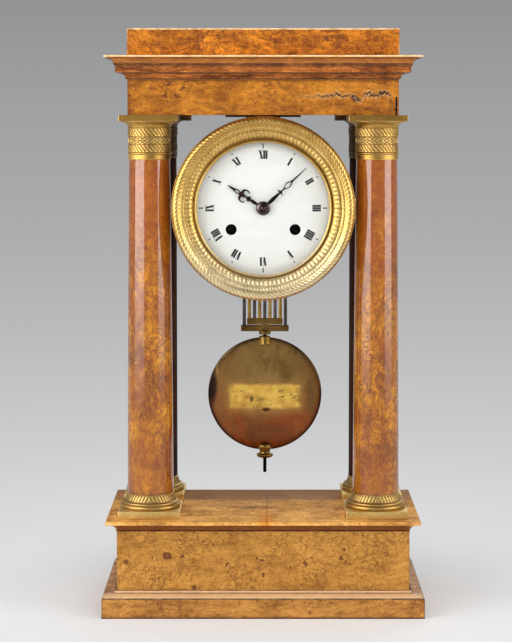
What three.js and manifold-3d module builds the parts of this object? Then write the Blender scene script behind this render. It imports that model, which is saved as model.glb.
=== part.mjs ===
// Portico mantel clock: a veneered case of four columns on a moulded base, a drum
// movement hung under the entablature and a gridiron pendulum swinging between the columns.
// Millimetres. +X is the viewer's right, -Y the dial side, +Z up. The origin is the middle
// of the base's underside.

import * as THREE from 'three';
import { mergeVertices } from 'three/addons/utils/BufferGeometryUtils.js';
import Module from 'manifold-3d';

const wasm = await Module();
wasm.setup();

// Clearances
const RUN = 0.3; // between pieces that are cut round, turn in or seat on each other
const TINY = 0.6; // how far two joined forms reach into each other

// Base
const CASE_BACK_Y = 71.5;
const DIE_FRONT_Y = -59.7;
const DIE_MARGIN = 0.8;
const DIE_TOP_Z = 69.7;
const PANEL_T = 6;
const FLOOR_T = 6;
const PLINTH_OUT = 11.8;
const PLINTH_FACE_H = 16.2;
const PLINTH_ROUND_H = 3.2;
const PLINTH_FILLET = 1.8;
const BASE_CORNICE_OUT = 8.8;
const BASE_COVE_H = 6.3;
const BASE_EDGE_H = 2.7;

// Columns
const COLUMN_OFF_BEZEL = 18.2;
const COLUMN_FRONT_Y = -31.5;
const COLUMN_BACK_Y = 44.5;
const COLUMN_H = 330.8;
const SHAFT_FOOT_R = 19.1;
const SHAFT_HEAD_R = 16.9;
const BACK_SHAFT_HEAD_R = 18.9;
const BASE_PLATE_HALF = 25.5;
const BASE_PLATE_H = 6.5;
const BASE_TORUS_H = 5.6;
const BASE_FLARE_H = 6.6;
const BASE_TORUS_OUT = 6.0;
const CAPITAL_RING_H = 5.9;
const CAPITAL_NECK_H = 20.2;
const CAPITAL_ECHINUS_H = 5.4;
const CAPITAL_ECHINUS_MARGIN = 1.2;
const ABACUS_HALF = 24;
const ABACUS_H = 5;

// Entablature
const FRIEZE_FRONT_Y = -48.5;
const FRIEZE_BACK_Y = 61.5;
const FRIEZE_FACE_H = 29.1;
const FRIEZE_T = 8;
const SOFFIT_T = 8;
const CORNICE_H = 19.1;
const CORNICE_BED_OUT = 3.6;
const CORNICE_FASCIA_OUT = 9.2;
const CORNICE_OUT = 18.3;
const ATTIC_OVERHANG = 0.5;
const ATTIC_H = 22.3;
const ATTIC_CORNER_R = 2.5;
const GLUE_BLOCK_W = 7;
const GLUE_BLOCK_H = 4.7;
const GLUE_BLOCK_D = 22;

// Bezel, drum and dial. Depths run back from the bezel's seat at JOINT_Y.
const BEZEL_BELOW_FRIEZE = 0.7;
const JOINT_Y = -46;
const BEZEL_R = 75.3;
const BEZEL_SIGHT_R = 54.1;
const BEZEL_LIP_T = 1.2;
const BEZEL_DEPTH = 11.8;
const GLASS_T = 1.2;
const GLASS_STAND = 3.7;
const GLASS_LAP = 2.5;
const FLANGE_INSET = 1.3;
const FLANGE_T = 2;
const DRUM_R = 58;
const DRUM_WALL = 1.2;
const DRUM_REAR_LIP = 6;
const DIAL_T = 1.5;
const DIAL_LAP = 1.7;
const DIAL_CENTRE_R = 4.2;
const KEY_HOLE_R = 4.5;
const KEY_X = 26.2;
const KEY_DROP = 17.6;
const DIAL_FOOT_R = 1.2;
const DIAL_FOOT_REACH = 50;
const HINGE_PIN_R = 0.6;
const HINGE_KNUCKLE_R = 1.4;
const HINGE_INSET = 0.9;
const HINGE_BACK = 1;
const HINGE_KNUCKLE_L = 7.4;
const HINGE_SIDE_L = 4.5;

// Hands
const HAND_T = 0.8;
const HAND_LIFT = 1.8;
const HAND_GAP = 1;
const MINUTE_HAND_L = 48.3;
const HOUR_HAND_L = 35;
const MINUTE_AT_DEG = 46.9;
const HOUR_AT_DEG = 303.1;
const HAND_SHANK_W = 1.7;
const MINUTE_BOSS_R = 4.2;
const HOUR_BOSS_R = 5.7;

// Movement
const PLATE_T = 2;
const PLATE_SPACE = 33;
const DIAL_SPACE = 8.9;
const SEAT_RIB_W = 2.3;
const SEAT_RIB_T = 1.5;
const PILLAR_R = 2.4;
const PILLAR_REACH = 51;
const ARBOR_R = 0.9;
const WHEEL_T = 1.2;
const CANNON_WALL = 0.7;
const MOTION_CENTRES = 12;
const MOTION_AT_DEG = 35;
const NUT_T = 1.1;
const NUT_R = 2.6;
const WINDING_R = 2.1;
const WINDING_SQUARE = 3;
const WINDING_RECESS = 2.5;
const BARREL_R = 19.5;
const BARREL_L = 17;
const BARREL_HUB_R = 8;
const BARREL_HUB_L = 2.6;
const GREAT_WHEEL_R = 24;
const CENTRE_WHEEL_R = 14;
const THIRD_WHEEL_R = 13;
const ESCAPE_WHEEL_R = 12;

// Pendulum, bell and hammer
const PENDULUM_X = 1.5;
const PENDULUM_Y = 25;
const PENDULUM_RISE = 46;
const ANCHOR_CENTRES = 22;
const COCK_H = 5;
const COCK_W = 8;
const SPRING_T = 0.6;
const STEM_W = 5;
const STEM_T = 2;
const STEM_L = 34.5;
const GRID_H = 120.2;
const GRID_PITCH = 4.4;
const GRID_ROD_R = 1.3;
const GRID_BAR_H = 5.4;
const GRID_BAR_T = 3.6;
const NECK_W = 8.4;
const NECK_H = 2.8;
const BOB_RISE = 0.7;
const CRUTCH_DROP = 26;
const BOB_R = 48.6;
const BOB_T = 14;
const BOB_ROD_R = 1.5;
const COLLAR_W = 10;
const COLLAR_LAP = 5.8;
const COLLAR_OUT_TOP = 1.2;
const COLLAR_OUT_FOOT = 0.8;
const ROD_BELOW_NUT = 13;
const RATING_NUT_R = 7.3;
const RATING_NUT_H = 5.5;
const BELL_R = 34;
const BELL_DEPTH = 18;
const BELL_WALL = 1.4;
const BELL_DROP = 6;
const BELL_BEHIND = 9;
const BELL_POST_GAP = 6;
const HAMMER_HEAD_R = 3.5;
const HAMMER_GAP = 1;
const HAMMER_ARM_L = 23.3;
const HANGER_HALF_W = 31;
const HANGER_T = 1.6;
const HANGER_D = 36;
const SADDLE_HALF_W = 14;

// Levels and places that follow from the sizes above
const COLUMN_X = BEZEL_R + COLUMN_OFF_BEZEL;
const DIE_HALF_W = COLUMN_X + BASE_PLATE_HALF + DIE_MARGIN;
const FRIEZE_HALF_W = COLUMN_X + SHAFT_HEAD_R;
const ATTIC_HALF_W = FRIEZE_HALF_W + ATTIC_OVERHANG;
const BASE_TOP_Z = DIE_TOP_Z + BASE_COVE_H + BASE_EDGE_H;
const FRIEZE_Z = BASE_TOP_Z + COLUMN_H;
const DIAL_Z = FRIEZE_Z - BEZEL_BELOW_FRIEZE - BEZEL_R;
const CORNICE_Z = FRIEZE_Z + FRIEZE_FACE_H;
const ATTIC_Z = CORNICE_Z + CORNICE_H;
const FLANGE_R = BEZEL_R - FLANGE_INSET;
const FLANGE_Y = JOINT_Y + RUN;
const DIAL_Y = FLANGE_Y + FLANGE_T + RUN;
const FRONT_PLATE_Y = DIAL_Y + DIAL_T + DIAL_SPACE;
const MOVEMENT_Y = FRONT_PLATE_Y + PLATE_T;
const BACK_PLATE_Y = MOVEMENT_Y + PLATE_SPACE;
const MOVEMENT_BACK_Y = BACK_PLATE_Y + PLATE_T;
const DRUM_INNER_R = DRUM_R - DRUM_WALL;
const PLATE_R = DRUM_INNER_R - RUN;
const HOUR_HAND_Y = DIAL_Y - HAND_LIFT - HAND_T;
const MINUTE_HAND_Y = HOUR_HAND_Y - HAND_GAP - HAND_T;
const CANNON_BORE_R = ARBOR_R + RUN;
const CANNON_R = CANNON_BORE_R + CANNON_WALL;
const HOUR_PIPE_BORE_R = CANNON_R + RUN;
const HOUR_PIPE_R = HOUR_PIPE_BORE_R + CANNON_WALL;
const SWING_Z = DIAL_Z + PENDULUM_RISE;
const HINGE_X = BEZEL_R - HINGE_INSET;
const HINGE_Y = JOINT_Y + HINGE_BACK;
const GRID_TOP_Z = SWING_Z - STEM_L;
const GRID_BOTTOM_Z = GRID_TOP_Z - GRID_H;
const GRID_BOTTOM_TOP_Z = GRID_BOTTOM_Z + GRID_BAR_H;
const NECK_END_Z = GRID_BOTTOM_Z - NECK_H;
const BOB_TOP_Z = NECK_END_Z - RUN - BOB_RISE;
const BOB_Z = BOB_TOP_Z - COLLAR_OUT_TOP - BOB_R;
const BOB_FOOT_Z = BOB_Z - BOB_R - COLLAR_OUT_FOOT;
const NUT_TOP_Z = BOB_FOOT_Z - RUN;
const ROD_END_Z = NUT_TOP_Z - RATING_NUT_H - ROD_BELOW_NUT;

// Motion work: tooth counts and pitch radii, from the centre distance
const CANNON_TEETH = 12;
const MINUTE_WHEEL_TEETH = 36;
const MINUTE_PINION_TEETH = 10;
const HOUR_WHEEL_TEETH = 40;
const FINE_WHEEL_TEETH = 40;
const ESCAPE_TEETH = 33;
const TOOTH_HEIGHT = 0.85;

// Mesh helpers

// One closed skin with shared corners, no collapsed faces, and its faces turned out.
function skin(geometry) {
  const bare = geometry.clone();
  bare.deleteAttribute('normal');
  bare.deleteAttribute('uv');
  const merged = mergeVertices(bare, 1e-4);
  const at = merged.attributes.position;
  const corners = merged.index.array;
  const kept = [];
  const [a, b, c] = [new THREE.Vector3(), new THREE.Vector3(), new THREE.Vector3()];
  let volume = 0;
  for (let i = 0; i < corners.length; i += 3) {
    const [p, q, r] = [corners[i], corners[i + 1], corners[i + 2]];
    if (p === q || q === r || r === p) continue;
    kept.push([p, q, r]);
    a.fromBufferAttribute(at, p);
    b.fromBufferAttribute(at, q);
    c.fromBufferAttribute(at, r);
    volume += a.dot(b.cross(c));
  }
  merged.setIndex(kept.flatMap(([p, q, r]) => (volume < 0 ? [p, r, q] : [p, q, r])));
  return merged;
}

function toSolid(geometry) {
  const closed = skin(geometry);
  return new wasm.Manifold(new wasm.Mesh({
    numProp: 3,
    vertProperties: Float32Array.from(closed.attributes.position.array),
    triVerts: Uint32Array.from(closed.index.array),
  }));
}

function toGeometry(solid) {
  const mesh = solid.getMesh();
  const geometry = new THREE.BufferGeometry();
  geometry.setAttribute('position', new THREE.BufferAttribute(mesh.vertProperties, 3));
  geometry.setIndex(new THREE.BufferAttribute(mesh.triVerts, 1));
  return geometry;
}

function join(...geometries) {
  return toGeometry(geometries.map(toSolid).reduce((whole, next) => whole.add(next)));
}

function cut(geometry, ...tools) {
  return toGeometry(tools.map(toSolid).reduce((whole, tool) => whole.subtract(tool), toSolid(geometry)));
}

// Form helpers

function block(x0, x1, y0, y1, z0, z1) {
  const box = new THREE.BoxGeometry(x1 - x0, y1 - y0, z1 - z0);
  return box.translate((x0 + x1) / 2, (y0 + y1) / 2, (z0 + z1) / 2);
}

// A round bar along Y or along Z.
function barY(x, z, radius, y0, y1, sides = 16) {
  return new THREE.CylinderGeometry(radius, radius, y1 - y0, sides).translate(x, (y0 + y1) / 2, z);
}

function barZ(x, y, radius, z0, z1, sides = 12) {
  const bar = new THREE.CylinderGeometry(radius, radius, z1 - z0, sides).rotateX(Math.PI / 2);
  return bar.translate(x, y, (z0 + z1) / 2);
}

// Turned forms: a profile of [radius, height] pairs spun about the Y or the Z axis.
function turnedY(profile, segments, x = 0, z = 0) {
  const points = profile.map(([radius, y]) => new THREE.Vector2(radius, y));
  return new THREE.LatheGeometry(points, segments).translate(x, 0, z);
}

function turnedZ(profile, segments) {
  const points = profile.map(([radius, z]) => new THREE.Vector2(radius, z));
  return new THREE.LatheGeometry(points, segments).rotateX(Math.PI / 2);
}

// A flat outline in X and Z, thick from y0 to y1.
function plateXZ(shape, y0, y1) {
  const slab = new THREE.ExtrudeGeometry(shape, { depth: y1 - y0, bevelEnabled: false, curveSegments: 12 });
  return slab.rotateX(Math.PI / 2).translate(0, y1, 0);
}

function outline(points) {
  return new THREE.Shape(points.map(([x, y]) => new THREE.Vector2(x, y)));
}

// Points on a quarter of an ellipse from its side (angle 0) to its top (90 degrees).
function quarter(centreX, centreY, reachX, reachY, steps) {
  return Array.from({ length: steps + 1 }, (_, i) => {
    const angle = (Math.PI / 2) * (i / steps);
    return [centreX + reachX * Math.cos(angle), centreY + reachY * Math.sin(angle)];
  });
}

// A toothed outline: teeth narrow from root to tip, the first one at startDeg from +Z.
function toothedShape(teeth, rootR, tipR, startDeg) {
  const pitch = (2 * Math.PI) / teeth;
  const points = [];
  for (let i = 0; i < teeth; i += 1) {
    const middle = (startDeg * Math.PI) / 180 + i * pitch;
    for (const [radius, share] of [[rootR, -0.25], [tipR, -0.1], [tipR, 0.1], [rootR, 0.25]]) {
      const angle = middle + share * pitch;
      points.push([radius * Math.sin(angle), radius * Math.cos(angle)]);
    }
  }
  return outline(points);
}

// A fine wheel's outline: a plain zigzag rim.
function zigzagShape(teeth, rootR, tipR, lean = 0.5) {
  const pitch = (2 * Math.PI) / teeth;
  const points = [];
  for (let i = 0; i < teeth; i += 1) {
    points.push([rootR * Math.sin(i * pitch), rootR * Math.cos(i * pitch)]);
    points.push([tipR * Math.sin((i + lean) * pitch), tipR * Math.cos((i + lean) * pitch)]);
  }
  return outline(points);
}

// A round or oval hole, wound the other way from the outline round it.
function pierce(shape, x, y, reachX, reachY = reachX, sides = 12) {
  const turn = THREE.ShapeUtils.isClockWise(shape.getPoints()) ? 1 : -1;
  const points = Array.from({ length: sides }, (_, i) => {
    const angle = (turn * 2 * Math.PI * i) / sides;
    return new THREE.Vector2(x + reachX * Math.cos(angle), y + reachY * Math.sin(angle));
  });
  shape.holes.push(new THREE.Path(points));
  return shape;
}

// Mouldings. A profile is a closed list of [out from the wall, height] pairs.

function remap(geometry, move) {
  const at = geometry.attributes.position;
  for (let i = 0; i < at.count; i += 1) at.setXYZ(i, ...move(at.getX(i), at.getY(i), at.getZ(i)));
  return geometry;
}

// Across the front, with both ends mitred at 45 degrees.
function frontMoulding(profile, halfW, frontY) {
  const strip = new THREE.ExtrudeGeometry(outline(profile), { depth: 1, bevelEnabled: false });
  return remap(strip, (out, z, end) => [(end > 0.5 ? 1 : -1) * (halfW + out), frontY - out, z]);
}

// Down one side, mitred to the front one and square at the back.
function sideMoulding(profile, halfW, frontY, backY, side) {
  const strip = new THREE.ExtrudeGeometry(outline(profile), { depth: 1, bevelEnabled: false });
  return remap(strip, (out, z, end) => [side * (halfW + out), end > 0.5 ? backY : frontY - out, z]);
}

// A board whose front and side edges follow a profile of [out, height] steps.
function mouldedBoard(steps, halfW, frontY, backY) {
  const square = outline([[-1, -1], [1, -1], [1, 1], [-1, 1]]);
  const layers = steps.length - 1;
  const slab = new THREE.ExtrudeGeometry(square, { depth: layers, steps: layers, bevelEnabled: false });
  return remap(slab, (x, y, level) => {
    const [out, z] = steps[Math.round(level)];
    return [x * (halfW + out), y < 0 ? frontY - out : backY, z];
  });
}

// Profiles

function plinthProfile() {
  const roundOut = PLINTH_OUT - PLINTH_FILLET;
  const roundTop = PLINTH_FACE_H + PLINTH_ROUND_H;
  return [
    [0, 0],
    [PLINTH_OUT, 0],
    ...quarter(PLINTH_FILLET, PLINTH_FACE_H, roundOut, PLINTH_ROUND_H, 5),
    [PLINTH_FILLET, roundTop + PLINTH_FILLET],
    [0, roundTop + PLINTH_FILLET],
  ];
}

function baseCorniceSteps() {
  const edgeZ = DIE_TOP_Z + BASE_COVE_H;
  const coveOut = BASE_CORNICE_OUT - 1.2;
  const cove = quarter(coveOut, DIE_TOP_Z, -coveOut, BASE_COVE_H, 4);
  return [...cove, [BASE_CORNICE_OUT, edgeZ], [BASE_CORNICE_OUT, BASE_TOP_Z]];
}

// Bed mould, plain fascia and a hollow upper moulding under the top fillet.
function corniceProfile() {
  const bedTop = CORNICE_Z + CORNICE_H * 0.28;
  const fasciaTop = CORNICE_Z + CORNICE_H * 0.6;
  const tipZ = CORNICE_Z + CORNICE_H * 0.9;
  return [
    [0, CORNICE_Z],
    [CORNICE_BED_OUT * 0.4, CORNICE_Z],
    [CORNICE_BED_OUT, bedTop],
    [CORNICE_FASCIA_OUT, bedTop],
    [CORNICE_FASCIA_OUT, fasciaTop],
    ...quarter(CORNICE_OUT, fasciaTop, CORNICE_FASCIA_OUT + 1 - CORNICE_OUT, tipZ - fasciaTop, 4),
    [CORNICE_OUT, ATTIC_Z],
    [0, ATTIC_Z],
  ];
}

// Finishes, as the photograph shows them
function finish(color, roughness, metalness) {
  return () => new THREE.MeshStandardMaterial({ color, roughness, metalness });
}
const burr = finish(0xbe7d2d, 0.32, 0);
const burrDark = finish(0x96501e, 0.34, 0);
const columnVeneer = finish(0xaa5a23, 0.2, 0);
const carcass = finish(0x8a6a44, 0.8, 0);
const darkWood = finish(0x2a1c14, 0.7, 0);
const gilt = finish(0xc8a050, 0.35, 0.9);
const brass = finish(0xc9a860, 0.4, 0.85);
const steel = finish(0x8d8f94, 0.35, 0.9);
const blued = finish(0x3c3032, 0.4, 0.7);
const enamel = finish(0xf5f6f3, 0.12, 0);
const glass = finish(0xdfe8ea, 0.05, 0);
const bellMetal = finish(0xb9a06a, 0.3, 0.9);
const copperBronze = finish(0x7d5a36, 0.35, 0.8);

const clock = new THREE.Group();

function add(name, geometry, makeMaterial, place = [0, 0, 0]) {
  const mesh = new THREE.Mesh(skin(geometry), makeMaterial());
  mesh.geometry.computeVertexNormals();
  mesh.name = name;
  mesh.position.set(...place);
  clock.add(mesh);
  return mesh;
}

// Base: a box of panels with a moulded plinth round three sides and a moulded top board.
function addBase() {
  const innerW = DIE_HALF_W - PANEL_T;
  const innerFront = DIE_FRONT_Y + PANEL_T;
  const innerBack = CASE_BACK_Y - PANEL_T;
  add('base_floor_board', block(-innerW, innerW, innerFront, innerBack, 0, FLOOR_T), carcass);
  add('base_front_panel', block(-DIE_HALF_W, DIE_HALF_W, DIE_FRONT_Y, innerFront, 0, DIE_TOP_Z), burr);
  add('base_back_panel', block(-innerW, innerW, innerBack, CASE_BACK_Y, 0, DIE_TOP_Z), carcass);
  add('base_left_panel', block(-DIE_HALF_W, -innerW, innerFront, CASE_BACK_Y, 0, DIE_TOP_Z), burr);
  add('base_right_panel', block(innerW, DIE_HALF_W, innerFront, CASE_BACK_Y, 0, DIE_TOP_Z), burr);
  const profile = plinthProfile();
  add('plinth_moulding_front', frontMoulding(profile, DIE_HALF_W, DIE_FRONT_Y), burrDark);
  add('plinth_moulding_left', sideMoulding(profile, DIE_HALF_W, DIE_FRONT_Y, CASE_BACK_Y, -1), burrDark);
  add('plinth_moulding_right', sideMoulding(profile, DIE_HALF_W, DIE_FRONT_Y, CASE_BACK_Y, 1), burrDark);
  add('base_top_board', mouldedBoard(baseCorniceSteps(), DIE_HALF_W, DIE_FRONT_Y, CASE_BACK_Y), burr);
}

// Columns: a gilt base on a square plate, a tapered shaft and a gilt capital.

const COLUMN_BASE_H = BASE_PLATE_H + BASE_TORUS_H + BASE_FLARE_H;
const CAPITAL_H = CAPITAL_RING_H + CAPITAL_NECK_H + CAPITAL_ECHINUS_H + ABACUS_H;
const COLUMN_SIDES = 24;

function columnBase() {
  const half = BASE_PLATE_HALF;
  const plate = block(-half, half, -half, half, 0, BASE_PLATE_H);
  const torusTop = BASE_PLATE_H + BASE_TORUS_H;
  const torusR = SHAFT_FOOT_R + BASE_TORUS_OUT;
  const turned = turnedZ([
    [0, BASE_PLATE_H - TINY],
    [torusR, BASE_PLATE_H - TINY],
    [torusR, BASE_PLATE_H + BASE_TORUS_H * 0.4],
    [torusR - 1.8, BASE_PLATE_H + BASE_TORUS_H * 0.5],
    [torusR - 1.4, BASE_PLATE_H + BASE_TORUS_H * 0.8],
    [torusR - 2.8, torusTop],
    [SHAFT_FOOT_R + 1.4, torusTop + BASE_FLARE_H * 0.4],
    [SHAFT_FOOT_R + 0.5, COLUMN_BASE_H],
    [0, COLUMN_BASE_H],
  ], COLUMN_SIDES);
  return join(plate, turned);
}

function columnShaft(headR) {
  const height = COLUMN_H - COLUMN_BASE_H - CAPITAL_H;
  const middleR = headR + (SHAFT_FOOT_R - headR) * 0.6;
  const profile = [[0, 0], [SHAFT_FOOT_R, 0], [middleR, height / 2], [headR, height], [0, height]];
  return turnedZ(profile, COLUMN_SIDES);
}

function columnCapital(headR) {
  const neckZ = CAPITAL_RING_H;
  const echinusZ = neckZ + CAPITAL_NECK_H;
  const abacusZ = echinusZ + CAPITAL_ECHINUS_H;
  const ringR = headR + 0.5;
  const echinusR = ABACUS_HALF - CAPITAL_ECHINUS_MARGIN;
  const turned = turnedZ([
    [0, 0],
    [ringR, 0],
    [ringR, neckZ * 0.7],
    [ringR + 0.6, neckZ * 0.8],
    [ringR + 0.6, neckZ],
    [ringR - 0.2, neckZ + CAPITAL_NECK_H * 0.5],
    [ringR + 0.5, echinusZ],
    [ringR + (echinusR - ringR) * 0.4, echinusZ + CAPITAL_ECHINUS_H * 0.4],
    [echinusR, abacusZ + TINY],
    [0, abacusZ + TINY],
  ], COLUMN_SIDES);
  const half = ABACUS_HALF;
  return join(turned, block(-half, half, -half, half, abacusZ, abacusZ + ABACUS_H));
}

function addColumn(where, x, y, headR) {
  add(`column_${where}_base`, columnBase(), gilt, [x, y, BASE_TOP_Z]);
  add(`column_${where}_shaft`, columnShaft(headR), columnVeneer, [x, y, BASE_TOP_Z + COLUMN_BASE_H]);
  add(`column_${where}_capital`, columnCapital(headR), gilt, [x, y, FRIEZE_Z - CAPITAL_H]);
}

// Entablature: frieze panels on a soffit board, a mitred cornice and a solid attic board.

function friezeBack() {
  const inner = FRIEZE_HALF_W - FRIEZE_T;
  const panel = block(-inner, inner, FRIEZE_BACK_Y - FRIEZE_T, FRIEZE_BACK_Y, FRIEZE_Z, ATTIC_Z);
  const blockEnd = COLUMN_X - ABACUS_HALF - RUN;
  const glueBlock = (side) => {
    const [x0, x1] = [side * blockEnd, side * (blockEnd - GLUE_BLOCK_W)].sort((p, q) => p - q);
    const y0 = FRIEZE_BACK_Y - GLUE_BLOCK_D;
    const under = block(x0, x1, y0, FRIEZE_BACK_Y, FRIEZE_Z - GLUE_BLOCK_H, FRIEZE_Z);
    const overlap = block(x0, x1, FRIEZE_BACK_Y - FRIEZE_T, FRIEZE_BACK_Y, FRIEZE_Z - TINY, FRIEZE_Z + TINY);
    return join(under, overlap);
  };
  return join(panel, glueBlock(-1), glueBlock(1));
}

function atticBoard() {
  const [w, d, r] = [ATTIC_HALF_W, (FRIEZE_BACK_Y - FRIEZE_FRONT_Y) / 2, ATTIC_CORNER_R];
  const middleY = (FRIEZE_BACK_Y + FRIEZE_FRONT_Y) / 2;
  const shape = new THREE.Shape();
  shape.moveTo(w - r, -d);
  shape.absarc(w - r, -d + r, r, -Math.PI / 2, 0, false);
  shape.absarc(w - r, d - r, r, 0, Math.PI / 2, false);
  shape.absarc(-w + r, d - r, r, Math.PI / 2, Math.PI, false);
  shape.absarc(-w + r, -d + r, r, Math.PI, Math.PI * 1.5, false);
  const board = new THREE.ExtrudeGeometry(shape, { depth: ATTIC_H, bevelEnabled: false, curveSegments: 4 });
  return board.translate(0, middleY, ATTIC_Z);
}

function addEntablature() {
  const outer = FRIEZE_HALF_W;
  const inner = outer - FRIEZE_T;
  const [y0, y1] = [FRIEZE_FRONT_Y + FRIEZE_T, FRIEZE_BACK_Y - FRIEZE_T];
  add('frieze_front_panel', block(-outer, outer, FRIEZE_FRONT_Y, y0, FRIEZE_Z, ATTIC_Z), burr);
  add('frieze_left_panel', block(-outer, -inner, y0, FRIEZE_BACK_Y, FRIEZE_Z, ATTIC_Z), burr);
  add('frieze_right_panel', block(inner, outer, y0, FRIEZE_BACK_Y, FRIEZE_Z, ATTIC_Z), burr);
  add('frieze_back_panel', friezeBack(), darkWood);
  add('soffit_board', block(-inner, inner, y0, y1, FRIEZE_Z, FRIEZE_Z + SOFFIT_T), carcass);
  const profile = corniceProfile();
  add('cornice_front', frontMoulding(profile, FRIEZE_HALF_W, FRIEZE_FRONT_Y), burrDark);
  add('cornice_left', sideMoulding(profile, FRIEZE_HALF_W, FRIEZE_FRONT_Y, FRIEZE_BACK_Y, -1), burrDark);
  add('cornice_right', sideMoulding(profile, FRIEZE_HALF_W, FRIEZE_FRONT_Y, FRIEZE_BACK_Y, 1), burrDark);
  add('attic_board', atticBoard(), burr);
}

// Drum, dial and bezel

const RING_SIDES = 40;

function drumWithFlange() {
  const flangeBack = FLANGE_Y + FLANGE_T;
  const dialLip = DRUM_INNER_R - DIAL_LAP;
  const ribY = MOVEMENT_Y + RUN;
  const drum = turnedY([
    [dialLip, FLANGE_Y],
    [FLANGE_R, FLANGE_Y],
    [FLANGE_R, flangeBack],
    [DRUM_R, flangeBack],
    [DRUM_R, MOVEMENT_BACK_Y + DRUM_REAR_LIP],
    [DRUM_INNER_R, MOVEMENT_BACK_Y + DRUM_REAR_LIP],
    [DRUM_INNER_R, ribY + SEAT_RIB_T],
    [DRUM_INNER_R - SEAT_RIB_W, ribY + SEAT_RIB_T],
    [DRUM_INNER_R - SEAT_RIB_W, ribY],
    [DRUM_INNER_R, ribY],
    [DRUM_INNER_R, flangeBack],
    [dialLip, flangeBack],
    [dialLip, FLANGE_Y],
  ], RING_SIDES);
  const knuckleZ = HINGE_KNUCKLE_L / 2 + RUN;
  const knuckle = (side) => {
    const [z0, z1] = [side * knuckleZ, side * (knuckleZ + HINGE_SIDE_L)].sort((p, q) => p - q);
    const barrel = barZ(HINGE_X, HINGE_Y, HINGE_KNUCKLE_R, z0, z1);
    return join(barrel, block(FLANGE_R - 4, HINGE_X, FLANGE_Y, flangeBack, z0, z1));
  };
  const reach = knuckleZ + HINGE_SIDE_L + 1;
  const bore = barZ(HINGE_X, HINGE_Y, HINGE_PIN_R + RUN, -reach, reach);
  const notchX = HINGE_X - HINGE_KNUCKLE_R - RUN;
  const notch = block(notchX, FLANGE_R + 1, FLANGE_Y - 1, flangeBack + 1, -knuckleZ, knuckleZ);
  return cut(join(drum, knuckle(-1), knuckle(1)), notch, bore);
}

function bezelRing() {
  const glassR = BEZEL_SIGHT_R + GLASS_LAP;
  const seatR = glassR + RUN;
  const lipBack = JOINT_Y - GLASS_STAND - GLASS_T - RUN;
  const lipFront = lipBack - BEZEL_LIP_T;
  const crestY = JOINT_Y - BEZEL_DEPTH;
  const ring = turnedY([
    [seatR, JOINT_Y],
    [BEZEL_R - 0.8, JOINT_Y],
    [BEZEL_R, JOINT_Y - 1.5],
    [BEZEL_R - 0.4, JOINT_Y - BEZEL_DEPTH * 0.5],
    [BEZEL_R - 2.6, crestY + 1.2],
    [BEZEL_R - 4.3, crestY],
    [BEZEL_R - 7.3, crestY + 2.4],
    [BEZEL_R - 9.3, crestY + 2.2],
    [BEZEL_R - 10.7, crestY + 3.4],
    [seatR + 3.6, lipFront - 1.6],
    [seatR, lipFront + 0.4],
    [BEZEL_SIGHT_R + 1.2, lipFront - 0.6],
    [BEZEL_SIGHT_R, lipFront],
    [BEZEL_SIGHT_R, lipBack],
    [seatR, lipBack],
    [seatR, JOINT_Y],
  ], RING_SIDES);
  const half = HINGE_KNUCKLE_L / 2;
  const knuckle = barZ(HINGE_X, HINGE_Y, HINGE_KNUCKLE_R, -half, half);
  const webHalf = HINGE_KNUCKLE_R - 0.2;
  const web = block(HINGE_X - webHalf, HINGE_X + webHalf - 0.6, JOINT_Y - 1, HINGE_Y, -half, half);
  const bore = barZ(HINGE_X, HINGE_Y, HINGE_PIN_R + RUN, -half - 1, half + 1);
  const notchR = HINGE_KNUCKLE_R + RUN;
  const notchEnd = half + HINGE_SIDE_L + 2 * RUN;
  const notches = [[-notchEnd, -half], [half, notchEnd]].map(([z0, z1]) => {
    return block(HINGE_X - notchR, BEZEL_R + 1, HINGE_Y - notchR, HINGE_Y, z0, z1);
  });
  return cut(join(cut(ring, ...notches), knuckle, web), bore);
}

function dialDisc() {
  const back = DIAL_Y + DIAL_T;
  const shape = new THREE.Shape();
  shape.absarc(0, 0, DRUM_INNER_R - RUN, 0, 2 * Math.PI, false);
  pierce(shape, 0, 0, DIAL_CENTRE_R);
  pierce(shape, -KEY_X, -KEY_DROP, KEY_HOLE_R);
  pierce(shape, KEY_X, -KEY_DROP, KEY_HOLE_R);
  const slab = new THREE.ExtrudeGeometry(shape, { depth: DIAL_T, bevelEnabled: false, curveSegments: 20 });
  const disc = slab.rotateX(Math.PI / 2).translate(0, back, 0);
  const feet = [90, 210, 330].map((deg) => {
    const angle = (deg * Math.PI) / 180;
    const [x, z] = [DIAL_FOOT_REACH * Math.cos(angle), DIAL_FOOT_REACH * Math.sin(angle)];
    return barY(x, z, DIAL_FOOT_R, back - TINY, FRONT_PLATE_Y - RUN, 8);
  });
  return join(disc, ...feet);
}

function hangerBracket() {
  const shape = new THREE.Shape();
  const seatR = DRUM_R + RUN;
  const top = FRIEZE_Z - DIAL_Z;
  const under = top - HANGER_T;
  const bottom = (side) => [side * SADDLE_HALF_W, Math.sqrt(seatR * seatR - SADDLE_HALF_W * SADDLE_HALF_W)];
  shape.moveTo(-HANGER_HALF_W, top);
  shape.lineTo(-HANGER_HALF_W, under);
  shape.lineTo(-SADDLE_HALF_W, under);
  shape.lineTo(...bottom(-1));
  const lean = Math.asin(SADDLE_HALF_W / seatR);
  shape.absarc(0, 0, seatR, Math.PI / 2 + lean, Math.PI / 2 - lean, true);
  shape.lineTo(SADDLE_HALF_W, under);
  shape.lineTo(HANGER_HALF_W, under);
  shape.lineTo(HANGER_HALF_W, top);
  return plateXZ(shape, MOVEMENT_BACK_Y - HANGER_D, MOVEMENT_BACK_Y);
}

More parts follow.
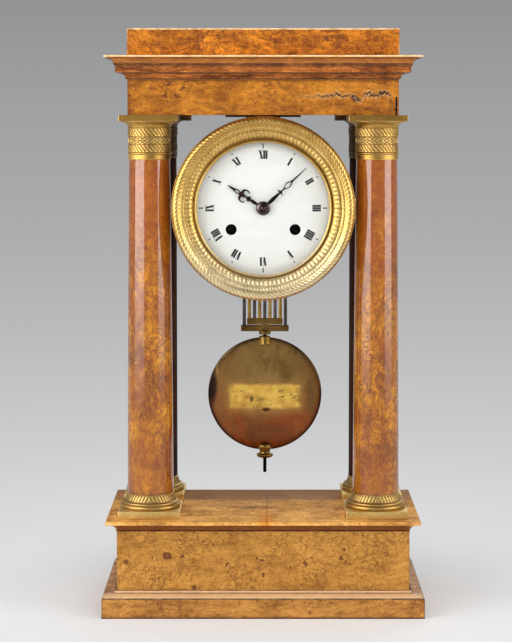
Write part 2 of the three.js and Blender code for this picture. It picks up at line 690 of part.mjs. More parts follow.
function addDrumAndBezel() {
  const dialAt = [0, 0, DIAL_Z];
  const glassR = BEZEL_SIGHT_R + GLASS_LAP;
  const glassBack = JOINT_Y - GLASS_STAND;
  add('hanger_bracket', hangerBracket(), brass, dialAt);
  add('movement_drum', drumWithFlange(), brass, dialAt);
  add('dial', dialDisc(), enamel, dialAt);
  add('bezel', bezelRing(), gilt, dialAt);
  add('bezel_glass', barY(0, 0, glassR, glassBack - GLASS_T, glassBack, RING_SIDES), glass, dialAt);
  const pinReach = HINGE_KNUCKLE_L / 2 + RUN + HINGE_SIDE_L;
  add('bezel_hinge_pin', barZ(HINGE_X, HINGE_Y, HINGE_PIN_R, -pinReach, pinReach), steel, dialAt);
}

// Hands and motion work

// Half outline of a hand as [half width, distance from the centre], mirrored to both sides.
function handShape(half, bossR, boreR, windows) {
  const start = Math.asin(half[0][0] / bossR);
  const shape = new THREE.Shape();
  shape.absarc(0, 0, bossR, Math.PI / 2 - start, Math.PI / 2 + start - 2 * Math.PI, true);
  for (const [w, along] of half) shape.lineTo(-w, along);
  for (const [w, along] of [...half].reverse()) shape.lineTo(w, along);
  pierce(shape, 0, 0, boreR);
  for (const [along, w, h] of windows) pierce(shape, 0, along, w, h);
  return shape;
}

function minuteHandShape() {
  const w = HAND_SHANK_W / 2;
  const along = (share) => MINUTE_HAND_L * share;
  const half = [
    [w, MINUTE_BOSS_R + 0.2],
    [w * 0.8, along(0.39)],
    [w * 3.3, along(0.4)],
    [w * 3.3, along(0.42)],
    [w * 0.8, along(0.43)],
    [w * 0.7, along(0.49)],
    [w * 2.5, along(0.585)],
    [w * 0.6, along(0.68)],
    [w * 0.35, along(0.995)],
  ];
  return handShape(half, MINUTE_BOSS_R, CANNON_R + RUN, [[along(0.585), w * 1.3, along(0.05)]]);
}

function hourHandShape() {
  const w = HAND_SHANK_W / 2;
  const along = (share) => HOUR_HAND_L * share;
  const half = [
    [w * 1.1, HOUR_BOSS_R + 0.2],
    [w, along(0.4)],
    [w * 2.2, along(0.42)],
    [w, along(0.45)],
    [w * 1.6, along(0.5)],
    [w * 6.4, along(0.58)],
    [w * 5.6, along(0.66)],
    [w * 1.6, along(0.61)],
    [w * 0.8, along(0.67)],
    [w * 1.9, along(0.76)],
    [w * 0.6, along(0.85)],
    [w * 0.35, along(0.99)],
  ];
  return handShape(half, HOUR_BOSS_R, HOUR_PIPE_R + RUN, [[along(0.76), w * 0.95, along(0.055)]]);
}

function gear(teeth, pitchR, startDeg, boreR, y0, y1) {
  const half = TOOTH_HEIGHT / 2;
  const rim = toothedShape(teeth, pitchR - half, pitchR + half * 0.8, startDeg);
  return plateXZ(pierce(rim, 0, 0, boreR), y0, y1);
}

function pipe(boreR, outerR, y0, y1) {
  return turnedY([[boreR, y0], [outerR, y0], [outerR, y1], [boreR, y1], [boreR, y0]], 16);
}

const CANNON_PITCH_R = (MOTION_CENTRES * CANNON_TEETH) / (CANNON_TEETH + MINUTE_WHEEL_TEETH);
const HOUR_PITCH_R = (MOTION_CENTRES * HOUR_WHEEL_TEETH) / (HOUR_WHEEL_TEETH + MINUTE_PINION_TEETH);
const MINUTE_WHEEL_Y = FRONT_PLATE_Y - 1 - WHEEL_T;
const HOUR_WHEEL_Y = DIAL_Y + DIAL_T + 0.8;
const MOTION_X = MOTION_CENTRES * Math.sin((MOTION_AT_DEG * Math.PI) / 180);
const MOTION_Z = MOTION_CENTRES * Math.cos((MOTION_AT_DEG * Math.PI) / 180);

function addHands() {
  const dialAt = [0, 0, DIAL_Z];
  const studAt = [MOTION_X, 0, DIAL_Z + MOTION_Z];
  const facing = MOTION_AT_DEG + 180;

  const minuteBack = MINUTE_WHEEL_Y + WHEEL_T;
  const [pinion0, pinion1] = [MINUTE_WHEEL_Y - 0.4, minuteBack + 0.4];
  const pinion = gear(CANNON_TEETH, CANNON_PITCH_R, MOTION_AT_DEG, CANNON_BORE_R, pinion0, pinion1);
  const cannon = pipe(CANNON_BORE_R, CANNON_R, MINUTE_HAND_Y - 0.1, MINUTE_WHEEL_Y);
  add('cannon_pinion', join(pinion, cannon), brass, dialAt);

  const bore = ARBOR_R + RUN;
  const wheelR = MOTION_CENTRES - CANNON_PITCH_R;
  const leavesR = MOTION_CENTRES - HOUR_PITCH_R;
  const wheelStart = facing + 180 / MINUTE_WHEEL_TEETH;
  const [leaves0, leaves1] = [HOUR_WHEEL_Y - 0.2, MINUTE_WHEEL_Y + TINY];
  const wheel = gear(MINUTE_WHEEL_TEETH, wheelR, wheelStart, bore, MINUTE_WHEEL_Y, minuteBack);
  const leaves = gear(MINUTE_PINION_TEETH, leavesR, facing, bore, leaves0, leaves1);
  add('minute_wheel', join(wheel, leaves), brass, studAt);

  const hourStart = MOTION_AT_DEG + 180 / HOUR_WHEEL_TEETH;
  const hourBack = HOUR_WHEEL_Y + WHEEL_T;
  const hourWheel = gear(HOUR_WHEEL_TEETH, HOUR_PITCH_R, hourStart, HOUR_PIPE_BORE_R, HOUR_WHEEL_Y, hourBack);
  const hourPipe = pipe(HOUR_PIPE_BORE_R, HOUR_PIPE_R, HOUR_HAND_Y - 0.2, HOUR_WHEEL_Y + TINY);
  add('hour_wheel', join(hourWheel, hourPipe), brass, dialAt);

  const hourHand = plateXZ(hourHandShape(), HOUR_HAND_Y, HOUR_HAND_Y + HAND_T);
  add('hour_hand', hourHand.rotateY((HOUR_AT_DEG * Math.PI) / 180), blued, dialAt);
  const minuteHand = plateXZ(minuteHandShape(), MINUTE_HAND_Y, MINUTE_HAND_Y + HAND_T);
  add('minute_hand', minuteHand.rotateY((MINUTE_AT_DEG * Math.PI) / 180), blued, dialAt);
  const nutBack = MINUTE_HAND_Y - RUN;
  add('hand_nut', pipe(ARBOR_R + RUN, NUT_R, nutBack - NUT_T, nutBack), brass, dialAt);
}

// Movement between the plates. Places are [x, z] from the dial centre.

const THIRD_AT = [-9, 13.6];
const ESCAPE_AT = [PENDULUM_X, PENDULUM_RISE - ANCHOR_CENTRES];
const ANCHOR_AT = [PENDULUM_X, PENDULUM_RISE];
const BARRELS_AT = [[KEY_X, -KEY_DROP], [-KEY_X, -KEY_DROP]];
const HAMMER_TURN = (10 * Math.PI) / 180;
const HAMMER_REACH = BELL_R + HAMMER_GAP + HAMMER_HEAD_R;
const HEAD_AT = [-HAMMER_REACH * Math.cos(HAMMER_TURN), -BELL_DROP - HAMMER_REACH * Math.sin(HAMMER_TURN)];
const HAMMER_AT = [HEAD_AT[0], HEAD_AT[1] - HAMMER_ARM_L];
const PIVOT_END = PLATE_T / 2;

function plate(y, holes) {
  const shape = new THREE.Shape();
  shape.absarc(0, 0, PLATE_R, 0, 2 * Math.PI, false);
  for (const [[x, z], radius] of holes) pierce(shape, x, z, radius);
  const slab = new THREE.ExtrudeGeometry(shape, { depth: PLATE_T, bevelEnabled: false, curveSegments: 16 });
  return slab.rotateX(Math.PI / 2).translate(0, y + PLATE_T, 0);
}

function addPlates() {
  const dialAt = [0, 0, DIAL_Z];
  const fine = [[0, 0], THIRD_AT, ESCAPE_AT, ANCHOR_AT].map((at) => [at, ARBOR_R + RUN]);
  const large = BARRELS_AT.map((at) => [at, WINDING_R + RUN]);
  const stud = barY(MOTION_X, MOTION_Z, ARBOR_R, HOUR_WHEEL_Y - 0.2, FRONT_PLATE_Y + TINY, 10);
  add('front_plate', join(plate(FRONT_PLATE_Y, [...fine, ...large]), stud), brass, dialAt);

  const pillars = [50, 96, 180, 264, 310].map((deg) => {
    const angle = (deg * Math.PI) / 180;
    const [x, z] = [PILLAR_REACH * Math.sin(angle), PILLAR_REACH * Math.cos(angle)];
    return barY(x, z, PILLAR_R, MOVEMENT_Y + RUN, BACK_PLATE_Y + TINY, 10);
  });
  const hammerHole = [HAMMER_AT, ARBOR_R + RUN];
  add('back_plate', join(plate(BACK_PLATE_Y, [...fine, ...large, hammerHole]), ...pillars), brass, dialAt);
}

function barrel() {
  const wheelY = MOVEMENT_Y + 1.8;
  const hubY = wheelY + WHEEL_T;
  const drumY = hubY + BARREL_HUB_L;
  const bore = WINDING_R + RUN;
  const rim = zigzagShape(FINE_WHEEL_TEETH, GREAT_WHEEL_R - 1.2, GREAT_WHEEL_R);
  const wheel = plateXZ(pierce(rim, 0, 0, bore), wheelY, hubY);
  const body = turnedY([
    [bore, wheelY],
    [BARREL_HUB_R, wheelY],
    [BARREL_HUB_R, drumY],
    [BARREL_R, drumY],
    [BARREL_R, drumY + BARREL_L],
    [bore, drumY + BARREL_L],
    [bore, wheelY],
  ], 24);
  return join(wheel, body);
}

function windingArbor() {
  const front = DIAL_Y + DIAL_T + WINDING_RECESS;
  const half = WINDING_SQUARE / 2;
  const square = block(-half, half, front, FRONT_PLATE_Y - 0.5, -half, half);
  return join(square, barY(0, 0, WINDING_R, FRONT_PLATE_Y - 1, BACK_PLATE_Y + PIVOT_END));
}

// A wheel and its pinion on an arbor that pivots in both plates.
function arborWheel(wheel, pinionR, pinionY0, pinionY1, front) {
  const arbor = barY(0, 0, ARBOR_R, front, BACK_PLATE_Y + PIVOT_END, 10);
  return join(wheel, arbor, barY(0, 0, pinionR, pinionY0, pinionY1, 10));
}

function addTrain() {
  const at = ([x, z]) => [x, 0, DIAL_Z + z];
  const greatY = MOVEMENT_Y + 1.8;
  const centreY = greatY + WHEEL_T + 0.6;
  const thirdY = centreY + 6;
  const escapeY = BACK_PLATE_Y - 9;
  const pivotY = FRONT_PLATE_Y + PIVOT_END;

  const centrePinionR = Math.hypot(KEY_X, KEY_DROP) - GREAT_WHEEL_R - RUN;
  const centreRim = zigzagShape(FINE_WHEEL_TEETH, CENTRE_WHEEL_R - 1, CENTRE_WHEEL_R);
  const centre = plateXZ(centreRim, centreY, centreY + WHEEL_T);
  const arborFront = MINUTE_HAND_Y - RUN - NUT_T + 0.2;
  const centreWheel = arborWheel(centre, centrePinionR, greatY, centreY + TINY, arborFront);
  add('centre_wheel', centreWheel, brass, at([0, 0]));

  const thirdPinionR = Math.hypot(...THIRD_AT) - CENTRE_WHEEL_R - RUN;
  const thirdRim = zigzagShape(FINE_WHEEL_TEETH, THIRD_WHEEL_R - 1, THIRD_WHEEL_R);
  const third = plateXZ(thirdRim, thirdY, thirdY + WHEEL_T);
  const thirdWheel = arborWheel(third, thirdPinionR, centreY - 0.6, thirdY + TINY, pivotY);
  add('third_wheel', thirdWheel, brass, at(THIRD_AT));

  const between = Math.hypot(ESCAPE_AT[0] - THIRD_AT[0], ESCAPE_AT[1] - THIRD_AT[1]);
  const escapeRim = zigzagShape(ESCAPE_TEETH, ESCAPE_WHEEL_R - 2, ESCAPE_WHEEL_R, 0.15);
  const escape = plateXZ(escapeRim, escapeY, escapeY + WHEEL_T);
  const escapePinionR = between - THIRD_WHEEL_R - RUN;
  const escapeWheel = arborWheel(escape, escapePinionR, thirdY - 1, escapeY + TINY, pivotY);
  add('escape_wheel', escapeWheel, brass, at(ESCAPE_AT));

  const [going, striking] = BARRELS_AT;
  add('going_barrel', barrel(), brass, at(going));
  add('strike_barrel', barrel(), brass, at(striking));
  add('going_winding_arbor', windingArbor(), steel, at(going));
  add('strike_winding_arbor', windingArbor(), steel, at(striking));
}

// Anchor and crutch turn on one line with the pendulum's bend.

function anchor() {
  const drop = ANCHOR_CENTRES - 9.2;
  const reach = ESCAPE_WHEEL_R - 1.6;
  const arm = outline([
    [-3, 2.5],
    [3, 2.5],
    [reach + 2.2, -drop + 4],
    [reach + 1.6, -drop],
    [reach, -drop],
    [reach - 1, -drop + 4],
    [0, -2.4],
    [-reach + 1, -drop + 4],
    [-reach, -drop],
    [-reach - 1.6, -drop],
    [-reach - 2.2, -drop + 4],
  ]);
  const y = BACK_PLATE_Y - 9;
  const arborBack = MOVEMENT_BACK_Y + CRUTCH_OUT + CRUTCH_T + 0.4;
  const arbor = barY(0, 0, ARBOR_R, FRONT_PLATE_Y + PIVOT_END, arborBack, 10);
  return join(plateXZ(arm, y, y + WHEEL_T), arbor);
}

const CRUTCH_OUT = 4.4;
const CRUTCH_T = 1.2;

function crutch() {
  const y0 = MOVEMENT_BACK_Y + CRUTCH_OUT;
  const y1 = y0 + CRUTCH_T;
  const stemHalf = STEM_W / 2 + RUN;
  const prong = 1.4;
  const footZ = -CRUTCH_DROP;
  const shape = new THREE.Shape();
  shape.absarc(0, 0, 2.4, 0, 2 * Math.PI, false);
  const boss = plateXZ(shape, y0, y1);
  const arm = block(-1.5, 1.5, y0, y1, footZ - 2, -1.6);
  const reach = stemHalf + prong;
  const forkBack = PENDULUM_Y + STEM_T / 2 + 1;
  const foot = block(-reach, reach, y0, forkBack, footZ - 3, footZ);
  const mouth = block(-stemHalf, stemHalf, PENDULUM_Y - STEM_T / 2 - 2, forkBack + 1, footZ - 4, footZ + 1);
  const bore = barY(0, 0, ARBOR_R + RUN, y0 - 1, y1 + 1, 10);
  return cut(join(boss, arm, foot), mouth, bore);
}

function suspensionCock() {
  const half = COCK_W / 2;
  const low = 2.4 + RUN + 0.3;
  const arm = block(-half, half, MOVEMENT_BACK_Y + RUN, PENDULUM_Y + STEM_T, low, low + COCK_H);
  const [strip0, strip1] = [PENDULUM_Y - SPRING_T / 2, PENDULUM_Y + SPRING_T / 2];
  const strip = block(-half + 1, half - 1, strip0, strip1, RUN, low + TINY);
  return join(arm, strip);
}

// Gridiron: nine rods between bars, with the flat stem above and the round rod below.
function gridiron() {
  const z = (height) => height - SWING_Z;
  const y = (half) => [PENDULUM_Y - half, PENDULUM_Y + half];
  const wide = 4 * GRID_PITCH + GRID_ROD_R + 1.4;
  const narrow = 3 * GRID_PITCH + GRID_ROD_R;
  const [bar0, bar1] = y(GRID_BAR_T / 2);
  const innerZ = GRID_BOTTOM_TOP_Z + 0.5;
  const pieces = [
    block(-STEM_W / 2, STEM_W / 2, ...y(STEM_T / 2), z(GRID_TOP_Z) - TINY, -RUN),
    block(-wide, wide, bar0, bar1, z(GRID_TOP_Z - GRID_BAR_H), z(GRID_TOP_Z)),
    block(-narrow, narrow, bar0, bar1, z(innerZ), z(innerZ + GRID_BAR_H)),
    block(-wide, wide, bar0, bar1, z(GRID_BOTTOM_Z), z(GRID_BOTTOM_TOP_Z)),
    block(-STEM_W / 2, STEM_W / 2, bar0, bar1, z(GRID_BOTTOM_Z) + TINY, z(innerZ) + TINY),
    block(-NECK_W / 2, NECK_W / 2, bar0, bar1, z(NECK_END_Z), z(GRID_BOTTOM_Z) + TINY),
    barZ(0, PENDULUM_Y, BOB_ROD_R, z(ROD_END_Z), z(GRID_BOTTOM_Z) + TINY, 10),
  ];
  for (let i = -4; i <= 4; i += 1) {
    const foot = Math.abs(i) === 4 ? GRID_BOTTOM_TOP_Z : innerZ + GRID_BAR_H;
    const head = z(GRID_TOP_Z - GRID_BAR_H) + TINY;
    pieces.push(barZ(i * GRID_PITCH, PENDULUM_Y, GRID_ROD_R, z(foot) - TINY, head, 8));
  }
  return join(...pieces);
}

// Lens bob with a collar above and below, drilled for the rod.
function bob() {
  const half = BOB_T / 2;
  const lens = Array.from({ length: 7 }, (_, i) => {
    const angle = (Math.PI / 6) * (i - 3);
    const radius = (BOB_R - 1) * Math.cos(angle) + (Math.abs(i - 3) < 3 ? 1 : 0);
    return [radius, PENDULUM_Y + half * Math.sin(angle)];
  });
  const body = turnedY(lens, 32);
  const w = COLLAR_W / 2;
  const collar = (z0, z1) => block(-w, w, PENDULUM_Y - w, PENDULUM_Y + w, z0, z1);
  const top = collar(BOB_R - COLLAR_LAP, BOB_TOP_Z - BOB_Z);
  const foot = collar(BOB_FOOT_Z - BOB_Z, -BOB_R + COLLAR_LAP);
  const holeHalf = BOB_ROD_R + RUN;
  const [hole0, hole1] = [PENDULUM_Y - holeHalf, PENDULUM_Y + holeHalf];
  const drill = block(-holeHalf, holeHalf, hole0, hole1, -BOB_R - 5, BOB_R + 5);
  return cut(join(body, top, foot), drill);
}

function ratingNut() {
  const top = NUT_TOP_Z;
  const bore = BOB_ROD_R + RUN;
  return turnedZ([
    [bore, top - RATING_NUT_H],
    [RATING_NUT_R - 1, top - RATING_NUT_H],
    [RATING_NUT_R, top - RATING_NUT_H + 1],
    [RATING_NUT_R, top - 1],
    [RATING_NUT_R - 1, top],
    [bore, top],
    [bore, top - RATING_NUT_H],
  ], 20);
}

function addPendulum() {
  const swingAt = [PENDULUM_X, 0, SWING_Z];
  add('pallet_anchor', anchor(), steel, swingAt);
  add('crutch', crutch(), brass, swingAt);
  add('suspension_cock', suspensionCock(), brass, swingAt);
  add('pendulum_gridiron', gridiron(), brass, swingAt);
  add('pendulum_bob', bob(), copperBronze, [PENDULUM_X, 0, BOB_Z]);
  add('rating_nut', ratingNut(), brass, [PENDULUM_X, PENDULUM_Y, 0]);
}

// Bell, its stand and the hammer, behind the pendulum

const BELL_RIM_Y = PENDULUM_Y + BELL_BEHIND;
const BELL_CROWN_Y = BELL_RIM_Y + BELL_DEPTH;
const BELL_SCREW_R = 1.5;

function bell() {
  const bore = BELL_SCREW_R + RUN;
  const dome = (radius, depth) => quarter(0, BELL_RIM_Y, radius, depth, 5).filter(([r]) => r > bore + 1);
  const outer = dome(BELL_R, BELL_DEPTH);
  const inner = dome(BELL_R - BELL_WALL, BELL_DEPTH - BELL_WALL).reverse();
  const profile = [...outer, [bore, BELL_CROWN_Y], [bore, BELL_CROWN_Y - BELL_WALL], ...inner];
  return turnedY([...profile, profile[0]], 24);
}

function bellStand() {
  const postX = BELL_R + BELL_POST_GAP;
  const armY = BELL_CROWN_Y + RUN;
  const post = barY(postX, 0, 1.8, MOVEMENT_BACK_Y + RUN, armY + 2.5, 10);
  const arm = block(-3, postX + 1.8, armY, armY + 2.5, -3, 3);
  const headY = BELL_CROWN_Y - BELL_WALL - RUN;
  const screw = barY(0, 0, BELL_SCREW_R, headY - 1, armY + 1, 12);
  const head = barY(0, 0, BELL_SCREW_R * 2, headY - 1.2, headY, 12);
  return join(post, arm, screw, head);
}

function hammer() {
  const headY = BELL_RIM_Y - 0.5;
  const arbor = barY(0, 0, ARBOR_R, BACK_PLATE_Y + PIVOT_END, headY + 4.5, 10);
  const arm = block(-1, 1, headY + 1.5, headY + 3.5, -1, HAMMER_ARM_L);
  const head = barY(0, HAMMER_ARM_L, HAMMER_HEAD_R, headY, headY + 6.5, 14);
  return join(arbor, arm, head);
}

function addBell() {
  const bellAt = [0, 0, DIAL_Z - BELL_DROP];
  add('bell', bell(), bellMetal, bellAt);
  add('bell_stand', bellStand(), brass, bellAt);
  add('hammer', hammer(), steel, [HAMMER_AT[0], 0, DIAL_Z + HAMMER_AT[1]]);
}

addBase();
addColumn('front_left', -COLUMN_X, COLUMN_FRONT_Y, SHAFT_HEAD_R);
addColumn('front_right', COLUMN_X, COLUMN_FRONT_Y, SHAFT_HEAD_R);
addColumn('back_left', -COLUMN_X, COLUMN_BACK_Y, BACK_SHAFT_HEAD_R);
addColumn('back_right', COLUMN_X, COLUMN_BACK_Y, BACK_SHAFT_HEAD_R);
addEntablature();
addDrumAndBezel();
addHands();
addPlates();
addTrain();
addPendulum();
addBell();

export default clock;
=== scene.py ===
"""The looks of a four-column mantel clock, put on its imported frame. Z is up and the dial faces -Y."""

import math

import bmesh
import bpy
from bmesh.types import BMEdge, BMFace, BMVert
from mathutils import Matrix, Vector


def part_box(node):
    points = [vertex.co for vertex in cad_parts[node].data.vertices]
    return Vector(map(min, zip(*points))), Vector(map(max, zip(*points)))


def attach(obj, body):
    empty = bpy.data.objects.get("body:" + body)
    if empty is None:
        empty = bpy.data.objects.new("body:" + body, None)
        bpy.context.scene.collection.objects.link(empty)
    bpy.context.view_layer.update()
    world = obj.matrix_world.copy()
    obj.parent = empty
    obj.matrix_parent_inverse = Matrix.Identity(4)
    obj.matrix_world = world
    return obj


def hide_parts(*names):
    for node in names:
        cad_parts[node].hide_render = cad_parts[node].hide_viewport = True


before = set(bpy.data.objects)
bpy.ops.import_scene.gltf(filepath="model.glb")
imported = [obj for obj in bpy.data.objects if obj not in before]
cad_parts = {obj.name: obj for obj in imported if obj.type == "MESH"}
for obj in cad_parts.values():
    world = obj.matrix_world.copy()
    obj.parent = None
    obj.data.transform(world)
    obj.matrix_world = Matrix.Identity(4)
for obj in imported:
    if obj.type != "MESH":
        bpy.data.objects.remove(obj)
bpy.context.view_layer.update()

# Shapes are worked out in millimetres and made metres when a piece is finished.
MM = 0.001
TURN = 2 * math.pi


def box_of(node):
    """Lowest and highest corner of a frame node, in millimetres."""
    low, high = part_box(node)
    return low / MM, high / MM


def spans(node):
    """The lowest and highest corner of a frame node, its middle and its half size, in millimetres."""
    low, high = box_of(node)
    return low, high, (low + high) / 2, (high - low) / 2


def bob_centre():
    """The bob's axis and the middle of its round, under the ferrule."""
    _, high, middle, half = spans("pendulum_bob")
    return middle.x, middle.y, high.z - 1.2 - half.x


# Camera, as the photograph was taken

PICTURE_H = 642
FOCAL_PIXELS = 1948.0
SENSOR = 36.0
CAMERA_AT = (-0.00116, -1.6358, 0.4093)
CAMERA_DOWN = math.radians(3.4)
CAMERA_SHIFT = (-0.0089, -0.14)


def add_camera():
    data = bpy.data.cameras.new("camera")
    data.sensor_width = SENSOR
    data.lens = FOCAL_PIXELS * SENSOR / PICTURE_H
    data.shift_x, data.shift_y = CAMERA_SHIFT
    camera = bpy.data.objects.new("camera", data)
    camera.location = CAMERA_AT
    camera.rotation_euler = (math.pi / 2 - CAMERA_DOWN, 0, 0)
    bpy.context.scene.collection.objects.link(camera)
    bpy.context.scene.camera = camera


# Colours and material nodes


def shade(red, green, blue):
    """A colour given as it looks on screen, made linear for the shaders."""
    def linear(level):
        level /= 255
        return level / 12.92 if level <= 0.04045 else ((level + 0.055) / 1.055) ** 2.4
    return (linear(red), linear(green), linear(blue), 1.0)


def sum_of(operation):
    """A method that adds the node for one sum."""
    return lambda self, *others: self.nodes.maths(operation, self, *others)


class Value:
    """An output of a node. Sums with it, and the calls below, add the nodes that work them out."""

    def __init__(self, nodes, socket):
        self.nodes = nodes
        self.socket = socket

    __add__ = __radd__ = sum_of("ADD")
    __sub__ = sum_of("SUBTRACT")
    __mul__ = __rmul__ = sum_of("MULTIPLY")
    __truediv__ = sum_of("DIVIDE")
    __gt__ = sum_of("GREATER_THAN")
    __abs__ = sum_of("ABSOLUTE")
    max = sum_of("MAXIMUM")

    def held(self):
        """Keeps the sum that was worked out last between 0 and 1."""
        self.socket.node.use_clamp = True
        return self

    def parts(self, kind="XYZ"):
        """The three numbers of a vector, or of a colour."""
        first = self.nodes.node(f"ShaderNodeSeparate{kind}", {0: self})
        return [Value(self.nodes, output) for output in first.socket.node.outputs]

    def vector(self, operation, *others, output="Vector", **more):
        inputs = dict(enumerate((self, *others)), **more)
        return self.nodes.node("ShaderNodeVectorMath", inputs, output, operation=operation)

    def length(self):
        return self.vector("LENGTH", output="Value")

    def noise(self, scale, detail=4.0, rough=0.55, output="Fac"):
        inputs = {"Vector": self, "Scale": scale, "Detail": detail, "Roughness": rough}
        return self.nodes.node("ShaderNodeTexNoise", inputs, output)

    def cells(self, scale, output="Distance"):
        return self.nodes.node("ShaderNodeTexVoronoi", {"Vector": self, "Scale": scale}, output)

    def stretched(self, scale=(1, 1, 1), shift=(0, 0, 0)):
        return self.nodes.node("ShaderNodeMapping", {"Vector": self, "Scale": scale, "Location": shift})

    def warped(self, scale, reach, detail=3.0):
        """Coordinates pushed about by noise, reach metres at most each way."""
        push = self.noise(scale, detail, output="Color").vector("SUBTRACT", (0.5, 0.5, 0.5))
        return self.vector("ADD", push.vector("SCALE", Scale=2 * reach))

    def spread(self, low, high, to_low=0.0, to_high=1.0, smooth=False):
        """The value's way from low to high, as a way from to_low to to_high."""
        inputs = {"Value": self, "From Min": low, "From Max": high, "To Min": to_low, "To Max": to_high}
        kind = "SMOOTHSTEP" if smooth else "LINEAR"
        return self.nodes.node("ShaderNodeMapRange", inputs, clamp=True, interpolation_type=kind)

    def rise(self, low, high, smooth=False):
        """How far the value, a length, has come from low to high millimetres."""
        return self.spread(low * MM, high * MM, smooth=smooth)

    def ramp(self, *stops):
        """Turns the value into a colour, by stops of a place and a colour as seen on screen."""
        made = self.nodes.node("ShaderNodeValToRGB", {0: self})
        elements = made.socket.node.color_ramp.elements
        while len(elements) < len(stops):
            elements.new(0.5)
        for element, (position, colour) in zip(elements, stops):
            element.position = position
            element.color = shade(*colour)
        return made

    def mix(self, share, other, how="MIX"):
        """This colour with a share of another, which may be given as it looks on screen."""
        if not isinstance(other, Value):
            other = shade(*other)
        inputs = {"Factor": share, "A": self, "B": other}
        return self.nodes.node("ShaderNodeMix", inputs, "Result", data_type="RGBA", blend_type=how)


class Nodes:
    """The nodes of a material or of the world, added call by call."""

    def __init__(self, holder):
        holder.use_nodes = True
        self.tree = holder.node_tree
        self.place = self.node("ShaderNodeTexCoord", {}, "Object")

    def put(self, socket, value):
        if isinstance(value, Value):
            self.tree.links.new(value.socket, socket)
        else:
            socket.default_value = value

    def node(self, kind, inputs, output=0, **settings):
        """Adds a node, sets or links its inputs and gives one of its outputs."""
        made = self.tree.nodes.new(kind)
        for key, value in settings.items():
            setattr(made, key, value)
        for key, value in inputs.items():
            self.put(made.inputs[key], value)
        return Value(self, made.outputs[output])

    def maths(self, operation, *values):
        return self.node("ShaderNodeMath", dict(enumerate(values)), operation=operation)

    def blend(self, share, first, second):
        """Two shaders, the second over the first by a share."""
        return self.node("ShaderNodeMixShader", {0: share, 1: first, 2: second})

    def ray(self, kind):
        return self.node("ShaderNodeLightPath", {}, f"Is {kind} Ray")

    def show(self, shader, output="Material Output"):
        """Makes a shader the one that is seen."""
        self.put(self.tree.nodes[output].inputs["Surface"], shader)


class Finish(Nodes):
    """One material."""

    def __init__(self, name, metal=0.0):
        self.material = bpy.data.materials.new(name)
        super().__init__(self.material)
        self.skin = self.tree.nodes["Principled BSDF"]
        self.put(self.skin.inputs["Metallic"], metal)

    def mark(self, name):
        """A number that the mesh carries at its vertices."""
        return self.node("ShaderNodeAttribute", {}, "Fac", attribute_name=name)

    def axis(self, letter):
        return self.place.parts()["XYZ".index(letter)]

    def relief(self, height, depth, strength=1.0):
        bump = self.node("ShaderNodeBump", {"Height": height, "Distance": depth, "Strength": strength})
        self.put(self.skin.inputs["Normal"], bump)

    def done(self, colour, roughness, **sockets):
        sockets.update(Base_Color=colour, Roughness=roughness)
        for key, value in sockets.items():
            self.put(self.skin.inputs[key.replace("_", " ")], value)
        return self.material


# Veneers. Distances in the patterns are metres.


def knot_masks(finish, knots):
    """How near the nearest given knot (x, z, radius in millimetres) on a front face is: its body and its core."""
    ragged = finish.place.warped(170, 0.0042, detail=4.0)
    flat = ragged.vector("MULTIPLY", (1, 0, 1))
    body, core = None, None
    for x, z, radius in knots:
        gap = flat.vector("DISTANCE", (x * MM, 0, z * MM), output="Value")
        inside = gap.rise(radius * 1.25, radius * 0.75, smooth=True)
        middle = gap.rise(radius * 0.7, radius * 0.2, smooth=True)
        body = inside if body is None else body.max(inside)
        core = middle if core is None else core.max(middle)
    return body, core


def tones_round(middle, contrast):
    """Five colours from dark to light round a middle one: the dark ones redder, the light ones paler."""
    return [tuple(min(250, max(0, level * (1 + contrast * step * bias)))
                  for level, bias in zip(middle, (0.8, 1.0, 1.35)))
            for step in (-0.42, -0.19, 0.0, 0.14, 0.30)]


KNOT_DARK = (92, 42, 22)
KNOT_CORE = (138, 84, 48)
# Painted shade together with grimy soiling, where the wood's mesh is marked hollow
SHADE_AND_GRIME = (66, 34, 16)
RUBBED = (232, 190, 132)
WEAR = 0.6
LENGTHWISE = (0.12, 1, 1)
GRAIN = 900


